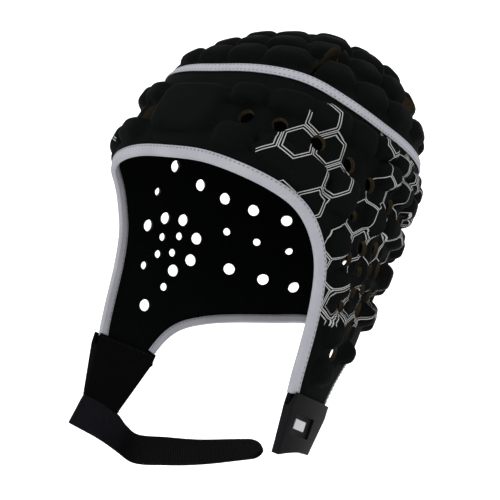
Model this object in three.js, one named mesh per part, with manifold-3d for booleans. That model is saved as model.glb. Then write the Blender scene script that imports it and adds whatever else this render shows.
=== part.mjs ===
// Goalkeeper head guard: a padded foam cap with cheek flaps, vent holes, pale bindings and a chin strap.
// The wearer faces -Y and their left is +X. While the pieces are shaped, heights are measured from the ear
// line. The finished group is moved, so its origin is where a head meets the inside of the crown.

import * as THREE from 'three';
import { ParametricGeometry } from 'three/addons/geometries/ParametricGeometry.js';
import { mergeVertices } from 'three/addons/utils/BufferGeometryUtils.js';
import Module from 'manifold-3d';

const wasm = await Module();
wasm.setup();

// Driving dimensions of the head form, in millimetres

const SEAT_HEIGHT = 136;
const SEAT_BACK = 10;
const GIRTH_HEIGHT = 40;
const PLAN_POWER = { front: 2.9, back: 1.95 };
const DOME_POWER = 2.25;

// Plan sections of the inner face: the middle moves forward as the cheeks open and back towards the crown
const SECTIONS = [
  { height: -85, centre: -58, front: 88, back: 100, half: 81 },
  { height: -35, centre: -44.5, front: 86.5, back: 96.5, half: 83 },
  { height: 10, centre: -28, front: 84.5, back: 97, half: 83 },
  { height: 40, centre: -17, front: 84, back: 98, half: 81 },
  { height: 75, centre: -6.5, front: 83.5, back: 100.5, half: 81 },
  { height: 105, centre: -1.5, front: 83.5, back: 100.5, half: 81 },
  { height: 136, centre: 10, front: 83.5, back: 100.5, half: 81 },
];

// Wall, pads and gaps
const WALL = 4;
const EDGE_WALL = 2;
const PAD_RISE = 6;
const PAD_BEVEL = 2.4;
const PAD_ROOT = 1;
const CLEARANCE = 0.3;
const FOLD_CLEARANCE = 0.45;

// Outlines of the pads: rounded blocks on the forehead, cheeks and flaps, plain bricks in the rows and rings
const BLOCK = { sides: 6, squareness: 5 };
const BRICK = { sides: 4, squareness: 20 };

// Tapes
const TAPE_THICKNESS = 0.8;
const BAND_WIDTH = 6.4;
const BINDING_REACH = 4.5;
const BORDER = 9;

// How far along each edge its tape starts from the flap's corner, clear of the sleeve there
const TAPE_START = { face: 6.5, nape: 7.5 };

// How late a column of the wrap leaves its azimuth on the band for its place on the lower edge
const COLUMN_EASE = 4;

// Height of the crown band round the head: it dips towards the back
const BAND_LINE = [
  { azimuth: 0, height: 101 },
  { azimuth: 25, height: 101 },
  { azimuth: 45, height: 98.5 },
  { azimuth: 64, height: 91 },
  { azimuth: 80, height: 85.5 },
  { azimuth: 98, height: 80.5 },
  { azimuth: 135, height: 73 },
  { azimuth: 180, height: 69 },
];

// Lower edge of the wrap from the middle of the brow to the front of the flap's end.
// above is the azimuth on the crown band that the same column of cloth starts from.
const FACE_EDGE = [
  { azimuth: 0, height: 47.5, above: 0 },
  { azimuth: 21.5, height: 46, above: 20 },
  { azimuth: 46, height: 36.5, above: 42 },
  { azimuth: 59.5, height: 26, above: 58 },
  { azimuth: 73, height: 4, above: 75 },
  { azimuth: 80.5, height: -20, above: 87 },
  { azimuth: 85, height: -46, above: 95 },
  { azimuth: 90, height: -75, above: 100 },
];

// Lower edge from the back of the flap's end to the middle of the nape
const NAPE_EDGE = [
  { azimuth: 116.5, height: -84.5, above: 109 },
  { azimuth: 125, height: -61.5, above: 118 },
  { azimuth: 137, height: -52, above: 135 },
  { azimuth: 163.5, height: -43, above: 160 },
  { azimuth: 180, height: -38.5, above: 180 },
];

// The line of large vents that runs from the forehead round to the back
const VENT_LINE = [
  { azimuth: 28, height: 73 },
  { azimuth: 55, height: 65.5 },
  { azimuth: 85.5, height: 50.5 },
  { azimuth: 120.5, height: 36 },
  { azimuth: 152, height: 28.5 },
  { azimuth: 180, height: 26.5 },
];
const VENT_BORE = { large: 8, small: 5.2 };
const VENT_SIDES = { large: 6, small: 4 };

// Rows of vents by their height above that line
const VENT_ROWS = [
  { above: 0, size: 'large', azimuths: [28, 40.5, 55, 70.5, 85.5, 105, 120.5, 136, 152, 170] },
  { above: -20.5, size: 'small', azimuths: [128.5, 143.5, 158.5, 175] },
  { above: -44, size: 'large', azimuths: [137, 153, 167, 180] },
];

// Vents over the ear and down the flap, on one side
const EAR_VENTS = [
  { azimuth: 82.5, height: 31, size: 'small' },
  { azimuth: 87.5, height: 7.5, size: 'large' },
  { azimuth: 95, height: 14.5, size: 'large' },
  { azimuth: 105, height: 15.5, size: 'large' },
  { azimuth: 98.5, height: 1.5, size: 'small' },
  { azimuth: 107, height: 4, size: 'small' },
  { azimuth: 116, height: 4.5, size: 'large' },
  { azimuth: 100.5, height: -10.5, size: 'small' },
  { azimuth: 107.5, height: -8, size: 'small' },
  { azimuth: 118, height: -11, size: 'large' },
  { azimuth: 96, height: -19.5, size: 'small' },
  { azimuth: 112, height: -20, size: 'large' },
  { azimuth: 111, height: -32, size: 'small' },
  { azimuth: 105.5, height: -46, size: 'large' },
];

// Pads of the wrap in front of the ears and on the flaps. A pad off the middle is made on both sides.
const WRAP_PADS = [
  { name: 'forehead', azimuth: 0, height: 75, halfWidth: 25.5, halfTall: 16, lean: 0 },
  { name: 'brow_upper', azimuth: 26.5, height: 84.5, halfWidth: 10.5, halfTall: 6.8, lean: 0 },
  { name: 'brow_lower', azimuth: 27.5, height: 60, halfWidth: 12, halfTall: 7.2, lean: -6 },
  { name: 'front_upper', azimuth: 42.5, height: 83, halfWidth: 12, halfTall: 7.2, lean: -4 },
  { name: 'front_lower', azimuth: 43, height: 54.5, halfWidth: 11, halfTall: 7.8, lean: -22 },
  { name: 'temple_upper', azimuth: 57.5, height: 79, halfWidth: 11.8, halfTall: 7.8, lean: -12 },
  { name: 'temple_lower', azimuth: 55, height: 47, halfWidth: 10.5, halfTall: 9.5, lean: -30 },
  { name: 'side_upper', azimuth: 72.5, height: 74, halfWidth: 11, halfTall: 7.8, lean: -14 },
  { name: 'temple_main', azimuth: 71, height: 41, halfWidth: 10, halfTall: 10.8, lean: -14 },
  { name: 'side_middle', azimuth: 93.5, height: 32.5, halfWidth: 9, halfTall: 8.4, lean: -6 },
  { name: 'side_back', azimuth: 110.5, height: 29, halfWidth: 9.5, halfTall: 6.8, lean: -6 },
  { name: 'ear_front', azimuth: 78.5, height: 14.5, halfWidth: 6.5, halfTall: 8, lean: 28 },
  { name: 'cheek_upper', azimuth: 87.5, height: -8, halfWidth: 6, halfTall: 8, lean: 14 },
  { name: 'cheek_front', azimuth: 95.5, height: -34, halfWidth: 6.6, halfTall: 8.5, lean: 4 },
  { name: 'flap_end', azimuth: 100, height: -56.5, halfWidth: 7.6, halfTall: 7, lean: -6 },
  { name: 'flap_back', azimuth: 115, height: -45, halfWidth: 5.6, halfTall: 5.6, lean: -30 },
];

// Staggered rows of pads round the back, by their height above the vent line
const BACK_ROWS = [
  { above: 23.5, first: 88.5, last: 180, step: 15.25, halfWidth: 10.8, halfTall: 6.2 },
  { above: 11.5, first: 94.5, last: 180, step: 15.5, halfWidth: 10.8, halfTall: 7 },
  { above: -11, first: 119.5, last: 180, step: 15, halfWidth: 11, halfTall: 6.8 },
  { above: -32.5, first: 127.5, last: 180, step: 15, halfWidth: 10.6, halfTall: 8 },
  { above: -57, first: 122, last: 150, step: 15, halfWidth: 9.2, halfTall: 7.4 },
];

// Rings of brick-like pads on the crown: lift is 0 at the band and 1 at the top
const CROWN_RINGS = [
  { lift: 0.16, count: 16, turn: 0.5, halfWidth: 13, halfTall: 7.2 },
  { lift: 0.36, count: 14, turn: 0, halfWidth: 12, halfTall: 7.4 },
  { lift: 0.565, count: 10, turn: 0.5, halfWidth: 12, halfTall: 7.4 },
  { lift: 0.765, count: 6, turn: 0, halfWidth: 11, halfTall: 7.2 },
  { lift: 1, count: 1, turn: 0, halfWidth: 12, halfTall: 15 },
];

// Open darts that let the flat crown foam take its dome, made on both sides
const DARTS = [
  { azimuth: 52, height: 113.5, lean: 52, length: 52, width: 6.5 },
  { azimuth: 120.5, height: 105, lean: -52, length: 52, width: 7 },
];

// Sleeve over the end of the wearer's right flap, and the tab on the left one
// The foot of each is moved back by sweep, longer at the back by slant and dished by hollow
const CUFF = {
  lap: 5,
  length: 36,
  spread: 0.11,
  footWidth: 0.59,
  sweep: 8,
  slant: 5,
  hollow: 0,
  skin: 1.3,
  footThickness: 3,
};
const TAB = {
  lap: 5,
  length: 24.5,
  spread: 0.02,
  footWidth: 0.8,
  sweep: 2.5,
  slant: -4.5,
  hollow: 1.8,
  skin: 1.3,
  footThickness: 5,
};
const RECESS = { width: 20, tall: 11.5, depth: 1.3, down: 8.5, along: -4 };
const BADGE = { width: 12, tall: 5.5, thickness: 0.8, down: 8.5, along: -7 };
const TAB_FACE = (WALL + TAB.footThickness) / 2;

// Chin strap from the cuff's foot, across and up to its free end: both edges at each station
const STRAP_WIDTH = 23;
const STRAP_THICKNESS = 2.4;
const STRAP_END_RADIUS = 10;
const STRAP_END_ROUND = 0.97;
const STRAP_ROUTE = [
  { top: [-65.5, -36, -125.5], low: [-54, -50, -139] },
  { top: [-54, -37, -127.5], low: [-41, -49.5, -141.5] },
  { top: [-23, -39, -121.5], low: [-8, -51, -134] },
  { top: [7, -41, -115], low: [23.5, -54.5, -124.5] },
  { top: [35, -41.5, -107.5], low: [52, -55.5, -114] },
  { top: [55.5, -42, -102], low: [72, -57.5, -106.5] },
];
const STRAP_ROOT_DROP = [7.5, -14, -16.5];

// Mesh steps
const FACE_STEPS = 20;
const NAPE_STEPS = 12;
const TIP_STEPS = 2;
const WALL_ROWS = 3;
const CROWN_STEPS = 24;
const CROWN_ROWS = 3;
const BAND_STEPS = 48;
const STRAP_STEPS = 24;
const SLEEVE_STEPS = 4;
const CUT_DEPTH = 30;

const MATERIALS = {
  cloth: new THREE.MeshStandardMaterial({ color: 0x151716, roughness: 0.85, metalness: 0 }),
  tape: new THREE.MeshStandardMaterial({ color: 0xc8c8cd, roughness: 0.8, metalness: 0 }),
  strap: new THREE.MeshStandardMaterial({ color: 0x201f22, roughness: 0.95, metalness: 0 }),
  tab: new THREE.MeshStandardMaterial({ color: 0x222325, roughness: 0.6, metalness: 0 }),
  badge: new THREE.MeshStandardMaterial({ color: 0xb9bbbd, roughness: 0.5, metalness: 0 }),
};

// Head form

const { degToRad, radToDeg, lerp, clamp } = THREE.MathUtils;

// Smooth value of one column of a table at a place along its key column, level at both ends
function smoothColumn(table, key, column, place) {
  const last = table.length - 1;
  const at = clamp(place, table[0][key], table[last][key]);
  let row = 0;
  while (row < last - 1 && at > table[row + 1][key]) {
    row += 1;
  }
  const slope = (i) => {
    if (i === 0 || i === last) {
      return 0;
    }
    return (table[i + 1][column] - table[i - 1][column]) / (table[i + 1][key] - table[i - 1][key]);
  };
  const span = table[row + 1][key] - table[row][key];
  const t = (at - table[row][key]) / span;
  const start = table[row][column];
  const end = table[row + 1][column];
  const ease = t * t * (3 - 2 * t);
  const leave = t * (1 - t) * (1 - t) * span * slope(row);
  const arrive = t * t * (t - 1) * span * slope(row + 1);
  return lerp(start, end, ease) + leave + arrive;
}

function planSection(height) {
  const section = {};
  for (const column of ['centre', 'front', 'back', 'half']) {
    section[column] = smoothColumn(SECTIONS, 'height', column, height);
  }
  return section;
}

function domeRise(height) {
  return clamp((height - GIRTH_HEIGHT) / (SEAT_HEIGHT - GIRTH_HEIGHT), 0, 1);
}

// Point of the inner face at an azimuth from the front and a height above the ear line
function formPoint(azimuth, height) {
  const angle = degToRad(azimuth);
  const section = planSection(height);
  const shrink = (1 - domeRise(height) ** DOME_POWER) ** (1 / DOME_POWER);
  const end = Math.cos(angle) > 0 ? 'front' : 'back';
  const power = PLAN_POWER[end];
  const side = Math.abs(Math.sin(angle) / section.half) ** power;
  const ahead = Math.abs(Math.cos(angle) / section[end]) ** power;
  const radius = shrink * (side + ahead) ** (-1 / power);
  return new THREE.Vector3(radius * Math.sin(angle), section.centre - radius * Math.cos(angle), height);
}

// Azimuth of a point, kept within half a turn of a nearby azimuth
function azimuthOf(point, nearby) {
  const azimuth = radToDeg(Math.atan2(point.x, planSection(point.z).centre - point.y));
  return azimuth + 360 * Math.round((nearby - azimuth) / 360);
}

// 1 on the inner face, less than 1 inside the head
function formLevel(point) {
  const section = planSection(point.z);
  const ahead = point.y - section.centre;
  const end = ahead < 0 ? 'front' : 'back';
  const power = PLAN_POWER[end];
  const plan = Math.abs(point.x / section.half) ** power + Math.abs(ahead / section[end]) ** power;
  const rise = Math.max(0, (point.z - GIRTH_HEIGHT) / (SEAT_HEIGHT - GIRTH_HEIGHT));
  return plan ** (DOME_POWER / power) + rise ** DOME_POWER;
}

function formSlope(point) {
  const step = 0.01;
  const slope = new THREE.Vector3();
  for (const axis of ['x', 'y', 'z']) {
    const ahead = point.clone();
    const behind = point.clone();
    ahead[axis] += step;
    behind[axis] -= step;
    slope[axis] = (formLevel(ahead) - formLevel(behind)) / (2 * step);
  }
  return slope;
}

function formNormal(point) {
  return formSlope(point).normalize();
}

// Moves a point onto the inner face, then out by an offset
function drape(point, offset = 0) {
  const draped = point.clone();
  for (let pass = 0; pass < 4; pass += 1) {
    const slope = formSlope(draped);
    draped.addScaledVector(slope, (1 - formLevel(draped)) / slope.lengthSq());
  }
  return draped.addScaledVector(formNormal(draped), offset);
}

// Axes on the form: east is towards larger azimuths, north is up the form, out is away from the head
function formFrame(origin) {
  const out = formNormal(origin);
  const up = Math.abs(out.z) > 0.999 ? new THREE.Vector3(0, 1, 0) : new THREE.Vector3(0, 0, 1);
  const east = up.cross(out).normalize();
  const north = out.clone().cross(east);
  return { origin, east, north, out };
}

function bandPoint(azimuth, shift = 0) {
  const turn = Math.abs(azimuth - 360 * Math.round(azimuth / 360));
  return formPoint(azimuth, smoothColumn(BAND_LINE, 'azimuth', 'height', turn) + shift);
}

// Solids

function toSolid(geometry) {
  const bare = geometry.clone();
  bare.deleteAttribute('normal');
  bare.deleteAttribute('uv');
  const merged = mergeVertices(bare);
  const corners = merged.index.array;
  const triVerts = [];
  for (let i = 0; i < corners.length; i += 3) {
    const [a, b, c] = corners.slice(i, i + 3);
    if (a !== b && b !== c && c !== a) {
      triVerts.push(a, b, c);
    }
  }
  const vertProperties = new Float32Array(merged.attributes.position.array);
  const bodyOf = (order) => new wasm.Manifold(new wasm.Mesh({ numProp: 3, vertProperties, triVerts: order }));
  const solid = bodyOf(new Uint32Array(triVerts));
  return solid.volume() > 0 ? solid : bodyOf(new Uint32Array(triVerts.reverse()));
}

function toMesh(solid, name, material) {
  const { vertProperties, triVerts } = solid.getMesh();
  const geometry = new THREE.BufferGeometry();
  geometry.setAttribute('position', new THREE.Float32BufferAttribute(vertProperties, 3));
  geometry.setIndex(new THREE.BufferAttribute(triVerts, 1));
  geometry.computeVertexNormals();
  const mesh = new THREE.Mesh(geometry, material);
  mesh.name = name;
  return mesh;
}

// Ways to seal the last ring of a body: gathered to its middle, or a channel's outer line drawn to its
// inner one
function toMiddle(ring) {
  const middle = ring.reduce((sum, p) => sum.add(p), new THREE.Vector3()).divideScalar(ring.length);
  return ring.map(() => middle);
}

function toFold(ring) {
  return ring.map((point, i) => (i < ring.length / 2 ? ring[ring.length - 1 - i] : point));
}

// Closed body from closed rings of points. Without a seal the last ring meets the first one.
function ringBody(rings, seal) {
  const first = rings[0];
  const last = rings[rings.length - 1];
  const lines = seal ? [seal(first), ...rings, seal(last)] : [...rings, first];
  const around = first.length;
  const place = (u, v, target) => {
    const line = lines[Math.round(v * (lines.length - 1))];
    target.copy(line[Math.round(u * around) % around]);
  };
  return toSolid(new ParametricGeometry(place, around, lines.length - 1));
}

// Outline point of a rounded block, at an angle, for half sizes along its two axes
function blockOutline(angle, squareness, halfWidth, halfTall) {
  const across = Math.cos(angle);
  const along = Math.sin(angle);
  const corner = (Math.abs(across) ** squareness + Math.abs(along) ** squareness) ** (-1 / squareness);
  return new THREE.Vector2(halfWidth * corner * across, halfTall * corner * along);
}

// A pad: a rounded block draped on the form, with sloping sides
function padSolid({ origin, halfWidth, halfTall, lean = 0 }, { sides, squareness }) {
  const { east, north } = formFrame(origin);
  const ring = (inset, offset) => {
    const points = [];
    for (let i = 0; i < sides; i += 1) {
      const angle = ((i + 0.5) / sides) * 2 * Math.PI;
      const flat = blockOutline(angle, squareness, halfWidth - inset, halfTall - inset);
      flat.rotateAround(new THREE.Vector2(), degToRad(lean));
      const point = origin.clone().addScaledVector(east, flat.x).addScaledVector(north, flat.y);
      points.push(drape(point, offset));
    }
    return points;
  };
  return ringBody([ring(0, PAD_ROOT), ring(PAD_BEVEL, WALL + PAD_RISE)], toFold);
}

function axesMatrix(frame, turn, offset) {
  const east = frame.east.clone().applyAxisAngle(frame.out, turn);
  const north = frame.north.clone().applyAxisAngle(frame.out, turn);
  const centre = frame.origin.clone().addScaledVector(frame.out, offset);
  return new THREE.Matrix4().makeBasis(east, north, frame.out).setPosition(centre);
}

function ventCutter({ azimuth, height, size }) {
  const bore = VENT_BORE[size];
  const cutter = new THREE.CylinderGeometry(bore / 2, bore / 2, CUT_DEPTH, VENT_SIDES[size]);
  cutter.rotateX(Math.PI / 2);
  cutter.applyMatrix4(axesMatrix(formFrame(formPoint(azimuth, height)), 0, 0));
  return toSolid(cutter);
}

function dartCutter({ azimuth, height, lean, length, width }) {
  const lens = new THREE.Shape();
  lens.moveTo(-length / 2, 0);
  lens.quadraticCurveTo(0, width, length / 2, 0);
  lens.quadraticCurveTo(0, -width, -length / 2, 0);
  const cutter = new THREE.ExtrudeGeometry(lens, { depth: CUT_DEPTH, bevelEnabled: false, curveSegments: 5 });
  cutter.applyMatrix4(axesMatrix(formFrame(formPoint(azimuth, height)), degToRad(lean), -CUT_DEPTH / 2));
  return toSolid(cutter);
}

// The same row for both sides of the head, or once if it lies on the middle
function bothSides(row) {
  const onMiddle = row.azimuth % 180 === 0;
  return onMiddle ? [row] : [row, { ...row, azimuth: -row.azimuth, lean: -(row.lean ?? 0) }];
}

// Thickness of the wall at a distance in from the lower edge, where it thins towards the tape
function wallAt(inward) {
  return lerp(EDGE_WALL, WALL, clamp(inward / BORDER, 0, 1));
}

// Wrap panel

function mirroredCurve(rows, middle) {
  const points = rows.map(({ azimuth, height, above }) => new THREE.Vector3(azimuth, height, above));
  const flip = (p) => new THREE.Vector3(2 * middle - p.x, p.y, 2 * middle - p.z);
  const others = points.filter((p) => p.x !== middle).map(flip).reverse();
  const all = middle === 0 ? [...others, ...points] : [...points, ...others];
  return new THREE.CatmullRomCurve3(all);
}

const faceCurve = mirroredCurve(FACE_EDGE, 0);
const napeCurve = mirroredCurve(NAPE_EDGE, 180);
const flapFront = FACE_EDGE[FACE_EDGE.length - 1];
const flapBack = NAPE_EDGE[0];

function edgePoint(place) {
  return formPoint(place.x, place.y);
}

// Way out of the cloth at an edge point, in the surface and square to the edge
function wayOut(before, point, after) {
  const along = after.clone().sub(before).normalize();
  return along.cross(formNormal(point)).normalize();
}

// Places along an edge: both flap corners and, between the sleeves, evenly spaced ones
function curvePlaces(curve, steps, start) {
  const share = start / curve.getLength();
  const places = [curve.getPointAt(0)];
  for (let i = 1; i < steps; i += 1) {
    places.push(curve.getPointAt(lerp(share, 1 - share, (i - 1) / (steps - 2))));
  }
  return [...places, curve.getPointAt(1)];
}

// Lower edge as columns: place in azimuth and height, edge point, and way out of the cloth, mitred at corners
function edgeColumns() {
  const tip = (turn, side) => {
    const places = [];
    for (let i = 1; i < TIP_STEPS; i += 1) {
      const t = side > 0 ? i / TIP_STEPS : 1 - i / TIP_STEPS;
      const blend = (column) => turn + side * lerp(flapFront[column], flapBack[column], t);
      const height = lerp(flapFront.height, flapBack.height, t);
      places.push(new THREE.Vector3(blend('azimuth'), height, blend('above')));
    }
    return places;
  };
  const places = [
    ...curvePlaces(faceCurve, FACE_STEPS, TAPE_START.face),
    ...tip(0, 1),
    ...curvePlaces(napeCurve, NAPE_STEPS, TAPE_START.nape),
    ...tip(360, -1),
  ];
  return places.map((place, i) => {
    const neighbour = (step) => edgePoint(places[(i + step + places.length) % places.length]);
    const edge = edgePoint(place);
    const arriving = wayOut(neighbour(-1), edge, edge);
    const leaving = wayOut(edge, edge, neighbour(1));
    const mitre = arriving.clone().add(leaving).divideScalar(1 + arriving.dot(leaving));
    return { place, edge, mitre };
  });
}

function wrapShell() {
  const rings = columns.map(({ place, edge, mitre }) => {
    const band = bandPoint(place.z, -CLEARANCE / 2);
    const border = drape(edge.clone().addScaledVector(mitre, -BORDER));
    const borderAzimuth = azimuthOf(border, place.x);
    const inner = [];
    for (let row = 0; row <= WALL_ROWS; row += 1) {
      const t = row / WALL_ROWS;
      inner.push(formPoint(lerp(place.z, borderAzimuth, t ** COLUMN_EASE), lerp(band.z, border.z, t)));
    }
    inner.push(edge);
    const outer = inner.map((point) => {
      return point.clone().addScaledVector(formNormal(point), point === edge ? EDGE_WALL : WALL);
    });
    return [...inner, ...outer.reverse()];
  });
  return ringBody(rings);
}

function ventLineHeight(azimuth) {
  return smoothColumn(VENT_LINE, 'azimuth', 'height', azimuth);
}

function rowVents() {
  return VENT_ROWS.flatMap(({ above, size, azimuths }) => {
    return azimuths.map((azimuth) => ({ azimuth, height: ventLineHeight(azimuth) + above, size }));
  });
}

function backPads() {
  const pads = [];
  for (const { above, first, last, step, halfWidth, halfTall } of BACK_ROWS) {
    for (let azimuth = first; azimuth < last + step / 4; azimuth += step) {
      const snapped = 180 - azimuth < step / 4 ? 180 : azimuth;
      pads.push({ azimuth: snapped, height: ventLineHeight(snapped) + above, halfWidth, halfTall, lean: 0 });
    }
  }
  return pads;
}

function wrapPanel() {
  const vents = [...rowVents(), ...EAR_VENTS].flatMap(bothSides);
  let solid = wrapShell();
  for (const [rows, outline] of [[WRAP_PADS, BLOCK], [backPads(), BRICK]]) {
    for (const pad of rows.flatMap(bothSides)) {
      solid = solid.add(padSolid({ ...pad, origin: formPoint(pad.azimuth, pad.height) }, outline));
    }
  }
  for (const vent of vents) {
    solid = solid.subtract(ventCutter(vent));
  }
  return solid;
}

// Crown panel

// Point of the crown's inner face from its edge, lift 0, to its top, lift 1
function crownPoint(azimuth, lift) {
  const edge = bandPoint(azimuth, CLEARANCE / 2);
  const start = Math.asin(domeRise(edge.z));
  const angle = lerp(start, Math.PI / 2, lift);
  return formPoint(azimuth, lerp(GIRTH_HEIGHT, SEAT_HEIGHT, Math.sin(angle)));
}

function crownShell() {
  const rings = [];
  for (const offset of [0, WALL]) {
    for (let row = 0; row < CROWN_ROWS; row += 1) {
      const lift = offset === 0 ? 1 - (row + 1) / CROWN_ROWS : row / CROWN_ROWS;
      const ring = [];
      for (let i = 0; i < CROWN_STEPS; i += 1) {
        const inner = crownPoint((i / CROWN_STEPS) * 360, lift);
        ring.push(inner.clone().addScaledVector(formNormal(inner), offset));
      }
      rings.push(ring);
    }
  }
  const top = (offset) => rings[0].map(() => new THREE.Vector3(0, SEAT_BACK, SEAT_HEIGHT + offset));
  return ringBody([top(0), ...rings, top(WALL)], toMiddle);
}

function crownPanel() {
  let solid = crownShell();
  for (const { lift, count, turn, halfWidth, halfTall } of CROWN_RINGS) {
    for (let i = 0; i < count; i += 1) {
      const origin = crownPoint(((i + turn) / count) * 360, lift);
      solid = solid.add(padSolid({ origin, halfWidth, halfTall }, BRICK));
    }
  }
  for (const dart of DARTS.flatMap(bothSides)) {
    solid = solid.subtract(dartCutter(dart));
  }
  return solid;
}

// Tapes

function crownBand() {
  const rings = [];
  for (let i = 0; i < BAND_STEPS; i += 1) {
    const azimuth = (i / BAND_STEPS) * 360;
    const step = 360 / BAND_STEPS / 2;
    const middle = bandPoint(azimuth);
    const down = wayOut(bandPoint(azimuth - step), middle, bandPoint(azimuth + step));
    const corner = (reach, offset) => drape(middle.clone().addScaledVector(down, reach), offset);
    const low = WALL + CLEARANCE;
    const high = low + TAPE_THICKNESS;
    const half = BAND_WIDTH / 2;
    rings.push([corner(half, low), corner(half, high), corner(-half, high), corner(-half, low)]);
  }
  return ringBody(rings);
}

// Tape folded over a stretch of the lower edge: a channel whose legs lie on both faces of the wall
function edgeBinding(columns) {
  const inner = -FOLD_CLEARANCE;
  const outer = wallAt(BINDING_REACH) + FOLD_CLEARANCE;
  const rim = EDGE_WALL + FOLD_CLEARANCE;
  const fold = FOLD_CLEARANCE + TAPE_THICKNESS;
  const rings = columns.map(({ edge, mitre }) => {
    const corner = (reach, offset) => drape(edge.clone().addScaledVector(mitre, reach), offset);
    return [
      corner(-BINDING_REACH, outer + TAPE_THICKNESS),
      corner(fold, rim + TAPE_THICKNESS),
      corner(fold, inner - TAPE_THICKNESS),
      corner(-BINDING_REACH, inner - TAPE_THICKNESS),
      corner(-BINDING_REACH, inner),
      corner(FOLD_CLEARANCE, inner),
      corner(FOLD_CLEARANCE, rim),
      corner(-BINDING_REACH, outer),
    ];
  });
  return ringBody(rings, toFold);
}

// Flap ends

// Frame at the end of a flap: along runs from its front corner to its back one, down goes on from the flap
function flapEnd(side) {
  const front = formPoint(side * flapFront.azimuth, flapFront.height);
  const back = formPoint(side * flapBack.azimuth, flapBack.height);
  const middle = front.clone().add(back).multiplyScalar(0.5);
  const along = back.clone().sub(front);
  const width = along.length();
  along.normalize();
  const out = formNormal(drape(middle));
  const down = along.clone().cross(out).multiplyScalar(side).normalize();
  return { front, back, middle, along, out, down, width };
}

// Length of a sleeve from the flap's end to its foot, t running from its front side to its back one
function sleeveFoot({ length, slant, hollow }, t) {
  return length + slant * (t - 0.5) - hollow * (1 - (2 * t - 1) ** 2);
}

// A sleeve folded over the flap's end, running on as a plate to its foot
function sleevePoint(end, size, t, reach, offset) {
  const chord = t * (1 + 2 * size.spread) * end.width;
  const front = -(0.5 + size.spread) * end.width;
  const start = drape(end.middle.clone().addScaledVector(end.along, front + chord));
  const out = formNormal(start);
  if (reach <= 0) {
    return drape(start.addScaledVector(end.down, reach), offset);
  }
  const share = clamp(reach / size.length, 0, 1);
  const slide = (size.sweep - chord * (1 - size.footWidth)) * share;
  start.addScaledVector(end.along, slide);
  return start.addScaledVector(end.down, reach).addScaledVector(out, offset);
}

function sleeveSolid(end, size) {
  const rings = [];
  for (let i = 0; i <= SLEEVE_STEPS; i += 1) {
    const t = i / SLEEVE_STEPS;
    const foot = sleeveFoot(size, t);
    const at = (reach, offset) => sleevePoint(end, size, t, reach, offset);
    const inner = -FOLD_CLEARANCE;
    const outer = wallAt(size.lap) + FOLD_CLEARANCE;
    const rim = EDGE_WALL + FOLD_CLEARANCE;
    const shoulder = CLEARANCE + size.skin;
    rings.push([
      at(-size.lap, outer + size.skin),
      at(shoulder, rim + size.skin),
      at(foot, WALL / 2 + size.footThickness / 2),
      at(foot, WALL / 2 - size.footThickness / 2),
      at(shoulder, inner - size.skin),
      at(-size.lap, inner - size.skin),
      at(-size.lap, inner),
      at(CLEARANCE, inner),
      at(CLEARANCE, lerp(inner, rim, 1 / 3)),
      at(CLEARANCE, lerp(inner, rim, 2 / 3)),
      at(CLEARANCE, rim),
      at(-size.lap, outer),
    ]);
  }
  return ringBody(rings, toFold);
}

// A flat block on the tab, square to the flap's end
function blockAt(end, { width, tall, down, along }, thickness, offset) {
  const block = new THREE.BoxGeometry(width, tall, thickness);
  const centre = sleevePoint(end, TAB, 0.5, down, offset).addScaledVector(end.along, along);
  const basis = new THREE.Matrix4().makeBasis(end.along, end.out.clone().cross(end.along), end.out);
  block.applyMatrix4(basis.setPosition(centre));
  return toSolid(block);
}

// Chin strap

function strapRoute(cuffEnd) {
  const drop = new THREE.Vector3(...STRAP_ROOT_DROP);
  const root = [0, 1].map((t) => {
    const reach = sleeveFoot(CUFF, t) + STRAP_THICKNESS / 2;
    const top = sleevePoint(cuffEnd, CUFF, t, reach, WALL / 2);
    return { top, low: top.clone().add(drop) };
  });
  const rest = STRAP_ROUTE.map(({ top, low }) => {
    return { top: new THREE.Vector3(...top), low: new THREE.Vector3(...low) };
  });
  const stations = [...root, ...rest];
  return {
    top: new THREE.CatmullRomCurve3(stations.map((station) => station.top)),
    low: new THREE.CatmullRomCurve3(stations.map((station) => station.low)),
  };
}

function chinStrap(cuffEnd) {
  const { top, low } = strapRoute(cuffEnd);
  const stations = [];
  for (let i = 0; i <= STRAP_STEPS; i += 1) {
    const upper = top.getPoint(i / STRAP_STEPS);
    const lower = low.getPoint(i / STRAP_STEPS);
    stations.push({ middle: upper.clone().lerp(lower, 0.5), across: lower.sub(upper).normalize() });
  }
  const tip = stations[STRAP_STEPS].middle;
  const rings = stations.map(({ middle, across }, i) => {
    const before = stations[Math.max(0, i - 1)].middle;
    const after = stations[Math.min(STRAP_STEPS, i + 1)].middle;
    const face = after.clone().sub(before).cross(across).normalize();
    const round = clamp(1 - middle.distanceTo(tip) / STRAP_END_RADIUS, 0, STRAP_END_ROUND);
    const half = (STRAP_WIDTH / 2) * Math.sqrt(1 - round * round);
    const corner = (reach, offset) => {
      return middle.clone().addScaledVector(across, reach).addScaledVector(face, offset);
    };
    const thick = STRAP_THICKNESS / 2;
    return [corner(-half, thick), corner(half, thick), corner(half, -thick), corner(-half, -thick)];
  });
  return ringBody(rings, toMiddle);
}

// Assembly

const columns = edgeColumns();
const faceColumns = columns.slice(1, FACE_STEPS);
const napeColumns = columns.slice(FACE_STEPS + TIP_STEPS + 1, FACE_STEPS + TIP_STEPS + NAPE_STEPS);
const cuffEnd = flapEnd(-1);
const tabEnd = flapEnd(1);
const recessFloor = TAB_FACE - RECESS.depth;
const recess = blockAt(tabEnd, RECESS, CUT_DEPTH, recessFloor + CUT_DEPTH / 2);
const badge = blockAt(tabEnd, BADGE, BADGE.thickness, recessFloor + CLEARANCE + BADGE.thickness / 2);

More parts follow.
